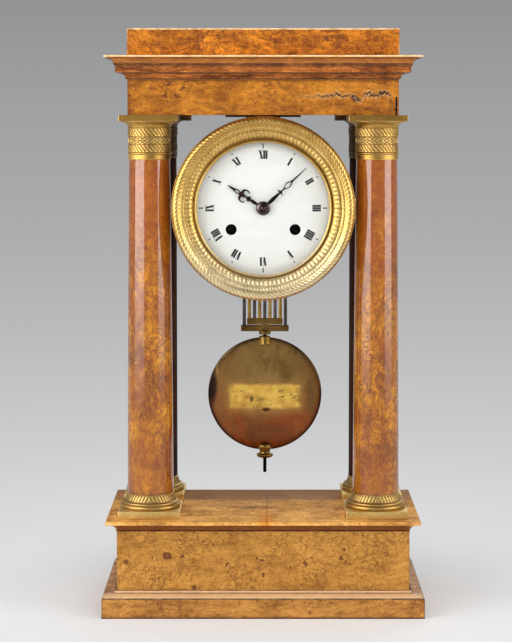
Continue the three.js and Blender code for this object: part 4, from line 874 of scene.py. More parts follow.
MAT = {
    "die": burr_wood("burr_die", (186, 131, 58), 1.0, streak=(0.55, 1, 1.4), knots=DIE_KNOTS, cluster=CLUSTERED,
                     contrast=0.62),
    "side": burr_wood("burr_side", (182, 128, 58), 2.3, streak=(1, 0.55, 1.4), cluster=CLUSTERED, contrast=0.62),
    "frieze": burr_wood("burr_frieze", (184, 114, 30), 3.1, streak=(0.42, 1, 1.7), knots=FRIEZE_KNOTS,
                        cluster=(0.55, 0.66), contrast=0.95, veins=0.3, extra=frieze_damage_and_shade),
    "frieze_side": burr_wood("burr_frieze_side", (184, 114, 30), 3.9, streak=(1, 0.42, 1.7), cluster=(0.55, 0.66),
                             contrast=0.8),
    "attic": burr_wood("burr_attic", (194, 115, 24), 5.2, streak=(0.6, 1, 1.4), knots=ATTIC_KNOTS, contrast=1.2,
                       veins=0.4, extra=attic_edges),
    "plinth": burr_wood("burr_plinth", (180, 124, 58), 6.4, streak=(0.38, 0.6, 1.7), contrast=0.8, extra=plinth_stains_and_light),
    "cornice": burr_wood("burr_cornice", (164, 92, 36), 7.7, streak=(0.2, 0.4, 2.4), contrast=1.7, veins=0.4,
                         cluster=(0.6, 0.7), extra=cornice_damage_and_light),
    # The top board's veneer is painted lighter than the die's: painted light on its upward face
    "top": burr_wood("burr_top", (224, 164, 84), 8.8, streak=(0.5, 1.1, 1.2), rough=(0.5, 0.66), contrast=0.8,
                     extra=under_top, gloss=0.08),
    "shaft": burr_wood("column_veneer", (182, 114, 14), 9.6, streak=(1, 1, 0.5), coat=1.0, rough=(0.45, 0.6),
                       cluster=CLUSTERED, contrast=1.3, veins=0.4, extra=shaft_reds, gloss=0.08),
    "rear_shaft": burr_wood("column_veneer_rear", (182, 114, 14), 4.4, streak=(1, 1, 0.5), rough=(0.5, 0.6),
                            cluster=CLUSTERED, contrast=1.3, veins=0.4, extra=rear_shade, gloss=0.05),
    "carcass": plain_wood("pine_carcass", (96, 68, 40), (150, 114, 74), 0.72),
    "dark_wood": plain_wood("stained_oak", (24, 15, 10), (62, 40, 24), 0.62, seed=2.0),
    "gilt": gilt_metal("gilt_brass", CAPITAL_GILT, rough=(0.4, 0.54), hollow_tone=DARK_HOLLOW, extra=shaded_abacus),
    "foot_gilt": gilt_metal("gilt_brass_bright", ((206, 170, 98), (230, 200, 124), (246, 220, 152)),
                            rough=(0.38, 0.52), hollow_tone=DARK_HOLLOW, extra=dull_ring),
    "rear_gilt": gilt_metal("gilt_brass_rear", CAPITAL_GILT, rough=(0.4, 0.55), wear=0.1, extra=rear_dim),
    "ring": gilt_metal("gilt_bezel", ((196, 156, 80), (218, 180, 102), (232, 200, 130)), wear=0.4,
                       rough=(0.36, 0.48), hollow_tone=(132, 94, 38), extra=ring_tone),
    "brass": drawn_metal("brass", ((150, 116, 58), (186, 148, 80), (208, 172, 100)), 0.34, (96, 66, 30)),
    "bell": drawn_metal("bell_bronze", ((140, 108, 58), (172, 138, 78), (194, 160, 96)), 0.26, (90, 66, 34)),
    "steel": drawn_metal("steel", ((104, 100, 96), (138, 134, 130), (164, 160, 154)), 0.32, (84, 58, 40)),
    "blued": drawn_metal("blued_steel", ((34, 24, 30), (52, 36, 42), (74, 50, 54)), 0.36),
    "dark_steel": drawn_metal("dark_steel", ((52, 46, 46), (84, 76, 74), (116, 108, 104)), 0.36, (46, 30, 24),
                              lines=(3, 3, 0.2)),
    "black_steel": drawn_metal("black_steel", ((14, 13, 13), (26, 24, 24), (44, 42, 42)), 0.42),
    "gunmetal": drawn_metal("gunmetal", ((70, 56, 58), (106, 88, 88), (146, 126, 122)), 0.26),
    "bronze": drawn_metal("old_bronze", ((92, 68, 34), (126, 96, 50), (154, 122, 68)), 0.38, (58, 38, 20)),
    "old_brass": drawn_metal("old_brass", ((118, 90, 40), (158, 126, 60), (190, 156, 84)), 0.32, (72, 48, 22)),
    "enamel": enamel_white(),
    "black": dial_black(),
    "glass": clear_glass(),
    "bob": bob_bronze(),
}


# Base: die panels, plinth moulding and the coved top board

# Each row of the top board stands this much farther in at the back, so that no face there is flat to nothing
BACK_STEP = 0.004


def quarter_hollow(out0, z0, out1, z1, steps=6):
    """A quarter round that starts upright at (out0, z0) and ends level at (out1, z1)."""
    return [(out0 + (out1 - out0) * (1 - math.cos(a)), z0 + (z1 - z0) * math.sin(a))
            for a in [math.pi / 2 * i / steps for i in range(steps + 1)]]


def plinth_section(height):
    """Flat face, a groove, a rounded band that falls back to the wall, a groove and a fillet under the panel."""
    face, fillet = PLINTH_FACE_H, height - PLINTH_FILLET_H
    groove = fillet - PLINTH_GROOVE_H
    rounded = quarter_hollow(PLINTH_OUT - 0.6, face + 0.5, 3.0, groove, 7)
    return eased([(0, 0), (PLINTH_OUT, 0), (PLINTH_OUT, face), (PLINTH_OUT - 1.0, face + 0.1), *rounded,
                  (2.2, groove), (1.4, fillet - 0.1), (2.4, fillet), (2.2, height - 0.3), (1.6, height),
                  (0, height)], 0.3, closed=True)


def board(node, word, material, creases=(1.0, 1.0, 0.0), **shape):
    """A board in place of a frame node."""
    bm = fresh()
    block(bm, *box_of(node), **shape)
    slot = "carcass_wood" if material == "carcass" else "burr_veneer"
    piece(f"{node}_{word}", bm, slot, material, node, creases=creases)


def runs(section, name, nodes, material, half, front, back):
    """A moulding along the front and both sides, mitred at the corners."""
    def corner(side, out, z):
        return side * (half + out), front - out, z

    for side, word in ((0, "front"), (-1, "left"), (1, "right")):
        bm = fresh()
        if side:
            moulding(bm, section, lambda o, z: corner(side, o, z), lambda o, z: (side * (half + o), back, z))
        else:
            moulding(bm, section, lambda o, z: corner(-1, o, z), lambda o, z: corner(1, o, z))
        piece(f"{name}_{word}_run", bm, "dark_burr_veneer", material, f"{nodes}_{word}")


def build_base():
    low, high = box_of("base_front_panel")
    half, front = high.x, low.y
    foot, head = box_of("base_top_board")
    back = head.y
    for side, word, material in (("front_panel", "veneered", "die"), ("left_panel", "veneered", "side"),
                                 ("right_panel", "veneered", "side"), ("back_panel", "sawn", "carcass"),
                                 ("floor_board", "sawn", "carcass")):
        board(f"base_{side}", word, material, (0.0, 1.0, 0.8), rounding=0.3)
    section = plinth_section(box_of("plinth_moulding_front")[1].z)
    runs(section, "plinth", "plinth_moulding", "plinth", half, front, back)

    cove_top = head.z - 2.7
    cove = quarter_hollow(0.3, foot.z, COVE_OUT, cove_top)
    profile = eased([(0, foot.z), *cove, (EDGE_OUT, cove_top), (EDGE_OUT, head.z), (EDGE_OUT - 3, head.z)])[:-1]
    bm = fresh()
    out, z = profile[0]
    corners = ((-half - out, front - out, z), (half + out, front - out, z), (half + out, back, z),
               (-half - out, back, z))
    rim = list(bm.faces.new([bm.verts.new(corner) for corner in corners]).edges)
    for row, (out, z) in enumerate(profile[1:], 1):
        rim, verts = grown(bm, rim)
        for vert in verts:
            vert.co.x = math.copysign(half + out, vert.co.x)
            vert.co.y = back - BACK_STEP * row if vert.co.y > 0 else front - out
            vert.co.z = z
    face = bmesh.ops.holes_fill(bm, edges=rim)["faces"][0]
    for guard in (0.8, 5):
        bmesh.ops.inset_region(bm, faces=[face], thickness=guard)
    for point, normal in (((half - 1, 0, 0), ACROSS), ((1 - half, 0, 0), ACROSS),
                          ((0, front + 1, 0), DEEP), ((0, back - 1, 0), DEEP)):
        geom = [*bm.verts, *bm.edges, *bm.faces]
        bmesh.ops.bisect_plane(bm, geom=geom, plane_co=point, plane_no=normal, dist=1e-4)
    piece("base_top_coved", bm, "burr_veneer", "top", "base_top_board")


# Columns

BAND_STEPS = 432
CAPITAL_LOBES = 34
FOOT_LOBES = 44
KEYS = 26
FRONT_HEAD_R = 16.9
REAR_HEAD_R = 18.9
SHAFT_ROWS = 24
SHAFT_SWELL = 0.6
CUT_DEEP = 0.46
KEY_DEEP = 0.3
KEY_SHALLOW = 0.03


def shaft(node, front):
    low, high, centre, half = spans(node)
    foot, head = half.x, FRONT_HEAD_R if front else REAR_HEAD_R
    middle = head + (foot - head) * SHAFT_SWELL
    height = high.z - low.z
    profile = [(foot * (1 - t) * (1 - 2 * t) + middle * 4 * t * (1 - t) + head * t * (2 * t - 1), height * t)
               for t in [i / SHAFT_ROWS for i in range(SHAFT_ROWS + 1)]]
    bm = fresh()
    spun(bm, [(0, 0), *profile, (0, height)], (centre.x, centre.y, low.z), UP, 96)
    piece(f"{node}_turned", bm, "column_veneer", "shaft" if front else "rear_shaft", node, creases=None)


def engraved(bm, verts, centre, depth_at):
    """Cuts engraving into turned work: depth_at(angle, height) gives how deep, in millimetres."""
    hollow, worn = marks(bm)
    for vert in verts:
        dx, dy = vert.co.x - centre[0], vert.co.y - centre[1]
        radius = math.hypot(dx, dy)
        if radius < 5:
            continue
        depth = depth_at(math.atan2(dy, dx), vert.co.z - centre[2])
        if depth is None:
            continue
        scale = (radius - depth) / radius
        vert.co.x = centre[0] + dx * scale
        vert.co.y = centre[1] + dy * scale
        vert[hollow] = min(1.0, depth / 0.45)
        vert[worn] = max(0.0, 0.5 - depth / 0.3)


def diagonal_cut(angle, height, low, high, lean, lobes, slant=1.5):
    """Rope-like sloping lobes between two heights, with narrow grooves between them."""
    if not low < height < high:
        return None
    phase = lobes * angle + lean * (height - low) / (high - low) * TURN * slant
    return CUT_DEEP * (1 - abs(math.sin(phase / 2)) ** 0.55)


def key_cut(angle, height, low, high):
    """A band of squares and bars: a low meander."""
    if not low < height < high:
        return None
    u = (KEYS * angle / TURN) % 1.0
    v = (height - low) / (high - low)
    if u < 0.62:
        ring = max(abs(u - 0.31) / 0.62, abs(v - 0.5)) * 2
        cut = 0.42 < ring < 0.68 or ring > 0.92
    else:
        cut = 0.40 < v < 0.60 or v < 0.12 or v > 0.88
    return KEY_DEEP if cut else KEY_SHALLOW


def chased(node, material, profile, depth_at, plate, rounding):
    """Gilt turned work with engraved bands, and a square plate between two heights above its foot."""
    low, high, _, half = spans(node)
    x, y, z = (low.x + high.x) / 2, (low.y + high.y) / 2, low.z
    rows = [profile[0], *sampled(profile[1:-1], 0.55), profile[-1]]
    bm = fresh()
    engraved(bm, spun(bm, rows, (x, y, z), UP, BAND_STEPS), (x, y, z), depth_at)
    block(bm, (x - half.x, y - half.x, z + plate[0]), (x + half.x, y + half.x, z + plate[1]), rounding=rounding)
    piece(f"{node}_chased", bm, "gilt_brass", material, node)


CAPITAL_RING = 5.9
CAPITAL_NECK = 20.2
CAPITAL_ECHINUS = 5.4


def capital(node, front):
    low, high, _, half = spans(node)
    ring = (FRONT_HEAD_R if front else REAR_HEAD_R) + 0.5
    echinus_z = CAPITAL_RING + CAPITAL_NECK
    abacus_z = echinus_z + CAPITAL_ECHINUS
    echinus_r = half.x - 1.2
    flare = quarter_hollow(ring + 0.2, echinus_z, ring + 0.2 + (echinus_r - ring) * 0.85,
                           echinus_z + CAPITAL_ECHINUS * 0.82)
    bands = [(-0.3, 5.9), (0.3, 6.4), (0.3, 12.2), (-0.3, 12.5), (0.1, 12.9), (0.1, 18.6), (-0.3, 18.9), (0.4, 19.3),
             (0.6, 25.6), (0, 26.0)]
    profile = [(0, 0), (ring - 0.4, 0), (ring + 0.1, 0.5), (ring + 0.1, 3.9), (ring - 0.3, 4.2),
               *arc(ring - 0.1, 5.0, 0.8, -80, 80, 6), *((ring + out, z) for out, z in bands), *flare[1:],
               (echinus_r - 0.5, abacus_z - 0.8), (echinus_r, abacus_z - 0.4), (echinus_r, abacus_z + 0.3),
               (0, abacus_z + 0.3)]

    def depth(angle, z):
        cuts = (diagonal_cut(angle, z, 6.5, 12.1, 1, CAPITAL_LOBES), key_cut(angle, z, 13.0, 18.5),
                diagonal_cut(angle, z, 19.4, 25.5, 1, CAPITAL_LOBES))
        return next((cut for cut in cuts if cut is not None), None)

    chased(node, "gilt" if front else "rear_gilt", profile, depth, (abacus_z, high.z - low.z), 0.5)


TORUS_H = 5.6
TORUS_R = 25.1
FOOT_TOP_R = 19.6


def foot_ring(node):
    low, high = box_of(node)
    height = high.z - low.z
    flare_z, wide = PLATE_H + TORUS_H + 0.4, TORUS_R - 3.6 - FOOT_TOP_R
    flare = [(FOOT_TOP_R + wide * (1 - t) ** 1.7, flare_z + (height - PLATE_H - TORUS_H - 1.0) * t)
             for t in [i / 8 for i in range(9)]]
    profile = [(0, PLATE_H - 0.5), (TORUS_R - 2.5, PLATE_H - 0.5),
               *arc(TORUS_R - 1.9, PLATE_H + 1.9, 1.9, -90, 90, 8),
               (TORUS_R - 2.8, PLATE_H + 3.9), *arc(TORUS_R - 2.4, PLATE_H + 4.6, 0.9, -70, 80, 5),
               (TORUS_R - 3.0, flare_z - 0.2), *flare, (FOOT_TOP_R, height - 0.3), (FOOT_TOP_R - 0.4, height),
               (0, height)]

    def depth(angle, z):
        lean = 1 if math.cos(angle) > 0 else -1
        return diagonal_cut(angle, z, flare_z + 0.4, height - 0.8, lean, FOOT_LOBES, 0.8)

    chased(node, "foot_gilt", profile, depth, (0, PLATE_H), 0.6)


def build_columns():
    for where in ("front_left", "front_right", "back_left", "back_right"):
        front = "front" in where
        foot_ring(f"column_{where}_base")
        shaft(f"column_{where}_shaft", front)
        capital(f"column_{where}_capital", front)


# Entablature: frieze, cornice and attic


def cornice_section(z0, z1):
    bed, fascia, crown = z0 + BED_H, z0 + BED_H + FASCIA_H, z1 - CROWN_EDGE_H
    return eased([(0, z0), (1.3, z0), (1.3, z0 + 1.1), *quarter_hollow(1.7, z0 + 1.2, 3.0, bed - 1.3, 4),
                  (BED_OUT, bed - 1.2), (BED_OUT, bed), (FASCIA_OUT, bed), (FASCIA_OUT, fascia - 0.9),
                  (FASCIA_OUT + 0.7, fascia - 0.8), (FASCIA_OUT + 0.7, fascia),
                  *quarter_hollow(FASCIA_OUT + 1.2, fascia + 0.1, CROWN_OUT - 0.9, crown),
                  (CROWN_OUT, crown), (CROWN_OUT, z1), (0, z1)], 0.3, closed=True)


def build_entablature():
    low, high = box_of("frieze_front_panel")
    for node, material in (("frieze_front_panel", "frieze"), ("frieze_left_panel", "frieze_side"),
                           ("frieze_right_panel", "frieze_side"), ("soffit_board", "carcass")):
        board(node, "fitted", material, (0.0, 1.0, 0.7), rounding=0.3)
    foot, head = box_of("cornice_front")
    section = cornice_section(foot.z, head.z)
    runs(section, "cornice", "cornice", "cornice", high.x, low.y, box_of("frieze_left_panel")[1].y)
    board("attic_board", "rounded", "attic", rounding=1.2, segments=4)


# Bezel, glass and dial

BEZEL_STEPS = 1152
ROPE_LOBES = 128
ROPE_LEAN = math.radians(43)
BEADS = 164
FLUTES = 110
ROPE_BAND = (67.9, 74.5)
BEAD_BAND = (64.9, 66.9)
FLUTE_BAND = (57.9, 63.9)
SIGHT_GROOVE = (55.7, 57.7)
GLASS_R = 56.6
JOINT_Y = -46.0
HINGE_X = 74.4
HINGE_Y = JOINT_Y + 1
PIN_R = 0.6
PIN_HALF = 8.5
KNUCKLE_R = 1.4
BARREL_HALF = 3.7
CLEARANCE = 0.2


def bezel_height(angle, radius):
    """Height of the chased ornament above the plain ring, in millimetres."""
    low, high = ROPE_BAND
    if low < radius <= high + 0.1:
        phase = ROPE_LOBES * (angle - math.tan(ROPE_LEAN) * (radius - low) / radius)
        lobe = abs(math.sin(phase / 2)) ** 0.8
        fade = math.sin(math.pi * min(1.0, 0.1 + 0.9 * (radius - low) / (high - low))) ** 0.5
        return 0.27 * lobe * fade - 0.16
    low, high = BEAD_BAND
    if low < radius < high:
        u = ((BEADS * angle / TURN) % 1.0 - 0.5) * 2
        v = (2 * radius - low - high) / (high - low)
        return 0.42 * math.sqrt(max(0.0, 1 - 0.8 * u * u - 0.8 * v * v)) - 0.2
    low, high = FLUTE_BAND
    if low < radius < high:
        u = abs((FLUTES * angle / TURN) % 1.0 - 0.5) * 2
        v = (radius - low) / (high - low)
        return 0.44 * max(0.0, 1 - u ** 2.4) ** 0.6 * min(1.0, 4 * v, 4 * (1 - v)) - 0.24
    return 0.0


def bezel_profile():
    """(radius, y) from the back of the outer edge over the rope, the beads and the flutes to the glass rebate."""
    outer = [(72.3, 0), (72.9, 0), (73.4, 0), (73.9, 0), (74.5, 0), (75.1, -0.8), (75.2, -1.9), (75.2, -4.4),
             (74.6, -5.0)]
    rope = [(r, y) for r, y in arc(70.9, -7.1, 3.5, 25, -160, 22) if r >= 68.0 or y < -9]
    beads = [(67.5, -8.9), (67.1, -8.7), *sampled([(66.9, -8.7), (64.9, -8.4)], 0.36), (64.7, -8.4), (64.3, -8.0)]
    flutes = sampled([(63.9, -8.2), (62.2, -8.1), (60.0, -7.5), (57.9, -6.4)], 0.55)
    sight = [(57.6, -6.1), (57.0, -5.2), (56.3, -5.3), (55.8, -6.2), (55.6, -6.9), (55.2, -7.1), (54.6, -6.9),
             (54.2, -6.3), (54.1, -5.2)]
    rows = [(56.9, 0), *outer, *rope, *beads, *flutes, *sight, (56.9, -5.2), (56.9, 0)]
    return [(r, JOINT_Y + y) for r, y in rows]


def build_bezel():
    low, high, middle, _ = spans("bezel_glass")
    cx, cz = middle.x, middle.z
    bm = fresh()
    made = spun(bm, bezel_profile(), (cx, 0, cz), DEEP, BEZEL_STEPS)
    bmesh.ops.recalc_face_normals(bm, faces=bm.faces)
    bm.normal_update()
    hollow, worn = marks(bm)
    moves = []
    for vert in made:
        dx, dz = vert.co.x - cx, vert.co.z - cz
        radius = math.hypot(dx, dz)
        if SIGHT_GROOVE[0] < radius < SIGHT_GROOVE[1]:
            vert[hollow] = 0.75
        if vert.co.y > JOINT_Y - 2.5 or radius < 57:
            continue
        height = bezel_height(math.atan2(dz, dx), radius)
        if height:
            moves.append((vert, vert.normal * height))
            vert[hollow] = min(1.0, max(0.0, -height / 0.15)) * 0.7
            vert[worn] = min(1.0, max(0.0, (height - 0.03) / 0.12)) * 0.7
    for vert, move in moves:
        vert.co += move
    # A hollow behind the edge leaves room for the flange's knuckles
    room = KNUCKLE_R + CLEARANCE
    for vert in made:
        off = Vector((vert.co.x - HINGE_X, vert.co.y - HINGE_Y, 0))
        if BARREL_HALF + CLEARANCE < abs(vert.co.z - cz) < PIN_HALF + 0.4 and off.length < room:
            vert.co += off.normalized() * (room - off.length)
    bore = PIN_R + 0.15
    barrel = [(bore, -BARREL_HALF), (KNUCKLE_R, -BARREL_HALF), (KNUCKLE_R, BARREL_HALF), (bore, BARREL_HALF),
              (bore, -BARREL_HALF)]
    spun(bm, eased(barrel, 0.2), (HINGE_X, HINGE_Y, cz), UP, 24)
    piece("bezel_chased", bm, "gilt_brass", "ring", "bezel", body="bezel_door", creases=None, smooth=60)

    bm = fresh()
    spun(bm, eased([(0, low.y), (GLASS_R, low.y), (GLASS_R, high.y), (0, high.y)], 0.25), (cx, 0, cz), DEEP, 128)
    piece("bezel_glass_round", bm, "clear_glass", "glass", "bezel_glass", body="bezel_door", creases=None)


def circle(x, z, radius, steps):
    angles = [TURN * i / steps for i in range(steps)]
    return [(x + radius * math.cos(a), z + radius * math.sin(a)) for a in angles]


def flat_shape(loops, thickness, rounding):
    """A flat plate with holes from outlines in the dial's plane, as a bmesh with its middle at y = 0."""
    curve = bpy.data.curves.new("outline", "CURVE")
    curve.dimensions = "2D"
    curve.fill_mode = "BOTH"
    curve.extrude = thickness / 2 - rounding
    curve.bevel_depth = rounding
    curve.bevel_resolution = 1
    curve.offset = -rounding
    for loop in loops:
        spline = curve.splines.new("POLY")
        spline.points.add(len(loop) - 1)
        for point, (x, z) in zip(spline.points, loop):
            point.co = (x, z, 0, 1)
        spline.use_cyclic_u = True
    holder = bpy.data.objects.new("outline", curve)
    mesh = bpy.data.meshes.new_from_object(holder)
    bm = fresh()
    bm.from_mesh(mesh)
    bpy.data.objects.remove(holder)
    bpy.data.curves.remove(curve)
    bpy.data.meshes.remove(mesh)
    bmesh.ops.remove_doubles(bm, verts=bm.verts, dist=WELD)
    bmesh.ops.rotate(bm, cent=(0, 0, 0), matrix=Matrix.Rotation(math.pi / 2, 3, "X"), verts=bm.verts)
    return bm


NUMERAL_R = 43.8
NUMERAL_H = 6.9
DASH_R = 50.9
THICK = 0.235
THIN = 0.045
SERIF = 0.028
SERIF_W = 0.22
LETTER_W = {"I": 0.27, "V": 0.52, "X": 0.52}
NUMERALS = ("XII", "I", "II", "III", "IIII", "V", "VI", "VII", "VIII", "IX", "X", "XI")
ARBOR_HOLE = (26.2, -17.6, 4.5)
# Each stroke of a numeral stands this much higher than the one before, so that crossing strokes don't share a face
STROKE_LIFT = 0.006


def numeral_strokes(word):
    """Strokes of a roman numeral as (foot x, foot y, head x, head y, width), in units of its height, middled."""
    x = -sum(LETTER_W[letter] for letter in word) / 2
    strokes = []
    for letter in word:
        w = LETTER_W[letter]
        middle, left, right = x + w / 2, x + 0.12, x + w - 0.10
        if letter == "I":
            strokes.append((middle, -0.5, middle, 0.5, THICK))
            ends = [(middle, -0.49), (middle, 0.49)]
        elif letter == "V":
            strokes += [(middle, -0.5, left, 0.5, THICK), (middle + 0.03, -0.5, right, 0.5, THIN)]
            ends = [(left, 0.49), (right, 0.49)]
        else:
            strokes += [(right, -0.5, left, 0.5, THICK), (left, -0.5, right, 0.5, THIN)]
            ends = [(left, -0.49), (right, -0.49), (left, 0.49), (right, 0.49)]
        strokes += [(at, end - SERIF / 2, at, end + SERIF / 2, SERIF_W) for at, end in ends]
        x += w
    return strokes


def build_dial():
    low, _, middle, half = spans("dial")
    cx, cz, front = middle.x, middle.z, low.y
    x, z, hole_r = ARBOR_HOLE
    loops = [circle(0, 0, half.x, 160), circle(0, 0, 4.2, 48), circle(-x, z, hole_r, 48), circle(x, z, hole_r, 48)]
    bm = flat_shape(loops, 1.5, 0.25)
    bmesh.ops.translate(bm, vec=(cx, front + 0.75, cz), verts=bm.verts)
    piece("dial_enamelled", bm, "enamel", "enamel", "dial", creases=None)

    bm = fresh()

    def stroke(turn, foot_x, foot_y, head_x, head_y, width, reach, lift=0.0):
        corners = []
        for x, y, side in ((foot_x, foot_y, -1), (foot_x, foot_y, 1), (head_x, head_y, 1), (head_x, head_y, -1)):
            u, v = (x + side * width / 2) * NUMERAL_H, y * NUMERAL_H + reach
            corners.append((cx + u * math.cos(turn) + v * math.sin(turn), front - 0.04 - lift,
                            cz + v * math.cos(turn) - u * math.sin(turn)))
        face = bm.faces.new([bm.verts.new(corner) for corner in corners])
        thick = bmesh.ops.extrude_face_region(bm, geom=[face])["geom"]
        bmesh.ops.translate(bm, vec=(0, 0.06, 0), verts=only(BMVert, thick))

    for hour, word in enumerate(NUMERALS):
        turn = TURN * hour / 12
        for place, numbers in enumerate(numeral_strokes(word)):
            stroke(turn, *numbers, NUMERAL_R, STROKE_LIFT * place)
        length, width = (0.28, 0.13) if hour % 3 == 0 else (0.09, 0.16)
        stroke(turn, 0, -length, 0, length, width, DASH_R)
    piece("dial_figures", bm, "enamel", "black", creases=None)


# Hands: half outlines as (half width, distance from the centre), with openings


def mirrored(half):
    """The left side of an outline outwards and its right side back, from the half outline."""
    return [(-w, along) for w, along in half] + [(w, along) for w, along in reversed(half)]


def hand_loop(half, boss_r):
    start = math.asin(min(1.0, half[0][0] / boss_r))
    angles = [start + (TURN - 2 * start) * i / 40 for i in range(41)]
    return [(boss_r * math.sin(a), boss_r * math.cos(a)) for a in angles] + mirrored(half)


def lens_hole(at, half_w, half_l, steps=12):
    """A pointed opening along the hand."""
    right = [(half_w * math.sin(math.pi * i / steps) ** 1.2, at - half_l + 2 * half_l * i / steps)
             for i in range(steps + 1)]
    return right + [(-w, along) for w, along in reversed(right[1:-1])]


MINUTE_HALF = ((0.95, 4.9), (1.45, 8), (1.6, 11), (1.1, 16), (0.75, 18.4), (1.7, 18.9), (2.9, 18.2), (3.1, 18.8),
               (1.5, 20.0), (0.6, 20.5), (0.55, 22.6), (1.2, 24.5), (2.35, 27.2), (2.5, 28.4), (2.1, 29.8),
               (1.1, 31.6), (0.75, 33.4), (0.6, 38), (0.42, 43), (0.25, 48.1))
HOUR_HALF = ((1.0, 6.2), (1.35, 8.4), (1.3, 11), (0.9, 12.9), (1.7, 12.7), (2.5, 13.3), (1.9, 14.0), (2.3, 14.9),
             (1.4, 15.3), (0.75, 15.6), (1.15, 16.6), (1.15, 17.4), (0.8, 18.3), (1.5, 19.6), (2.6, 20.3),
             (3.7, 20.0), (4.5, 19.0), (4.7, 17.7), (4.25, 16.6), (3.6, 16.9), (3.75, 15.9), (4.6, 15.7),
             (5.5, 16.9), (5.7, 18.6), (5.2, 20.5), (4.0, 21.9), (2.6, 22.4), (1.3, 22.6), (1.4, 23.6),
             (1.75, 25.2), (1.7, 26.6), (1.2, 28.2), (0.95, 29.4), (0.85, 31.5), (0.45, 33.5), (0.15, 34.8))
# For each hand: outline, boss and bore radius, openings (place, half width, half length) and degrees at rest
HANDS = {
    "minute_hand": (MINUTE_HALF, 4.2, 2.2, ((27.8, 1.55, 3.7),), 46.9),
    "hour_hand": (HOUR_HALF, 5.7, 3.2, ((25.4, 0.95, 2.4), (17.0, 0.35, 0.9)), 303.1),
}


def build_hands():
    cz = spans("dial")[2].z
    for node, (half, boss_r, bore_r, holes, degrees) in HANDS.items():
        low, high = box_of(node)
        openings = [circle(0, 0, bore_r, 32), *(lens_hole(*hole) for hole in holes)]
        loops = [hand_loop(half, boss_r), *(opening[::-1] for opening in openings)]
        bm = flat_shape(loops, high.y - low.y, 0.12)
        bmesh.ops.rotate(bm, cent=(0, 0, 0), matrix=Matrix.Rotation(math.radians(degrees), 3, "Y"), verts=bm.verts)
        bmesh.ops.translate(bm, vec=(0, (low.y + high.y) / 2, cz), verts=bm.verts)
        piece(f"{node}_cut", bm, "blued_steel", "blued", node, body=f"{node}_body", creases=None)
    front = box_of("hand_nut")[0].y
    collet = [(0, 1.1), (1.2, 1.1), (5.1, 1.1), (5.3, 0.7), (4.4, 0.1), (3.4, -0.15), (3.0, 0.1), (2.5, -0.2),
              (1.9, -0.9), (1.1, -1.2), (0, -1.3)]
    bm = fresh()
    spun(bm, collet, (0, front, cz), DEEP, 48)
    piece("hand_nut_domed", bm, "blued_steel", "gunmetal", "hand_nut", body="minute_hand_body",
          creases=(0.4, 1.0, 0.0))


# Pendulum: gridiron, bob, ferrules, rating nut and threaded rod

PENDULUM_Y = 25.0
RODS = range(-4, 5)
ROD_PITCH = 4.4
ROD_R = 1.45
TOP_BAR = (339.6, 345.0)
INNER_BAR = (230.7, 236.1)
BOTTOM_BAR = (224.8, 230.2)
STEM_HALF_W = 2.5
SCREW_PITCH = 0.7
SCREW = (104.5, 125.5)


def part(bm, name, material, *nodes, creases=(0.5, 1.0, 0.2)):
    """A piece of the gridiron."""
    piece(name, bm, "brass_and_steel_rods", material, *nodes, body="pendulum_body", creases=creases)


def build_gridiron():
    _, high, middle, _ = spans("pendulum_gridiron")
    x, y = middle.x, PENDULUM_Y
    wide, narrow = 4 * ROD_PITCH + ROD_R + 1.4, 3 * ROD_PITCH + ROD_R + 0.6
    bm = fresh()
    for (z0, z1), half in ((TOP_BAR, wide), (INNER_BAR, narrow), (BOTTOM_BAR, wide)):
        block(bm, (x - half, y - 1.9, z0), (x + half, y + 1.9, z1), rounding=0.45, guards=(1.2,))
        for i in RODS:
            if abs(i) * ROD_PITCH < half:
                pin = [(0, -2.15), (0.6, -2.1), (0.75, -1.85), (0, -1.6)]
                spun(bm, pin, (x + i * ROD_PITCH, y, (z0 + z1) / 2), DEEP, 10)
    part(bm, "gridiron_bars", "bronze", "pendulum_gridiron")

    for word, odd, material in (("steel", 0, "dark_steel"), ("brass", 1, "old_brass")):
        bm = fresh()
        for i in RODS:
            if i % 2 == odd:
                foot = (BOTTOM_BAR if abs(i) == 4 else INNER_BAR)[1] - 0.5
                rod = [(0, foot), (ROD_R, foot), (ROD_R, TOP_BAR[0] + 0.5), (0, TOP_BAR[0] + 0.5)]
                spun(bm, rod, (x + i * ROD_PITCH, y, 0), UP, 20)
        part(bm, f"gridiron_{word}_rods", material, creases=None)

    bm = fresh()
    for half_y, z0, z1, rounding in ((1, TOP_BAR[1] - 0.5, high.z, 0.3),
                                     (1.7, BOTTOM_BAR[1] - 0.4, INNER_BAR[0] + 0.4, 0.2)):
        block(bm, (x - STEM_HALF_W, y - half_y, z0), (x + STEM_HALF_W, y + half_y, z1), rounding=rounding)
    spun(bm, eased([(0, 222.3), (5.0, 222.3), (5.0, 225.0), (0, 225.0)], 0.2), (x, y, 0), UP, 40)
    part(bm, "pendulum_stem", "bronze")

    bm = fresh()
    start, stop = SCREW
    turns = int((stop - start) / SCREW_PITCH)
    thread = [(1.62 - 0.32 * (i % 2), start + i * SCREW_PITCH / 2) for i in range(2 * turns)]
    spun(bm, [(0, 103.0), (0.9, 103.1), (1.4, 103.7), *thread, (1.5, 126), (1.5, 223), (0, 223)], (x, y, 0), UP, 24)
    part(bm, "pendulum_threaded_rod", "black_steel", creases=None)


BOB_HALF = 7.0
BOB_EDGE = 1.6


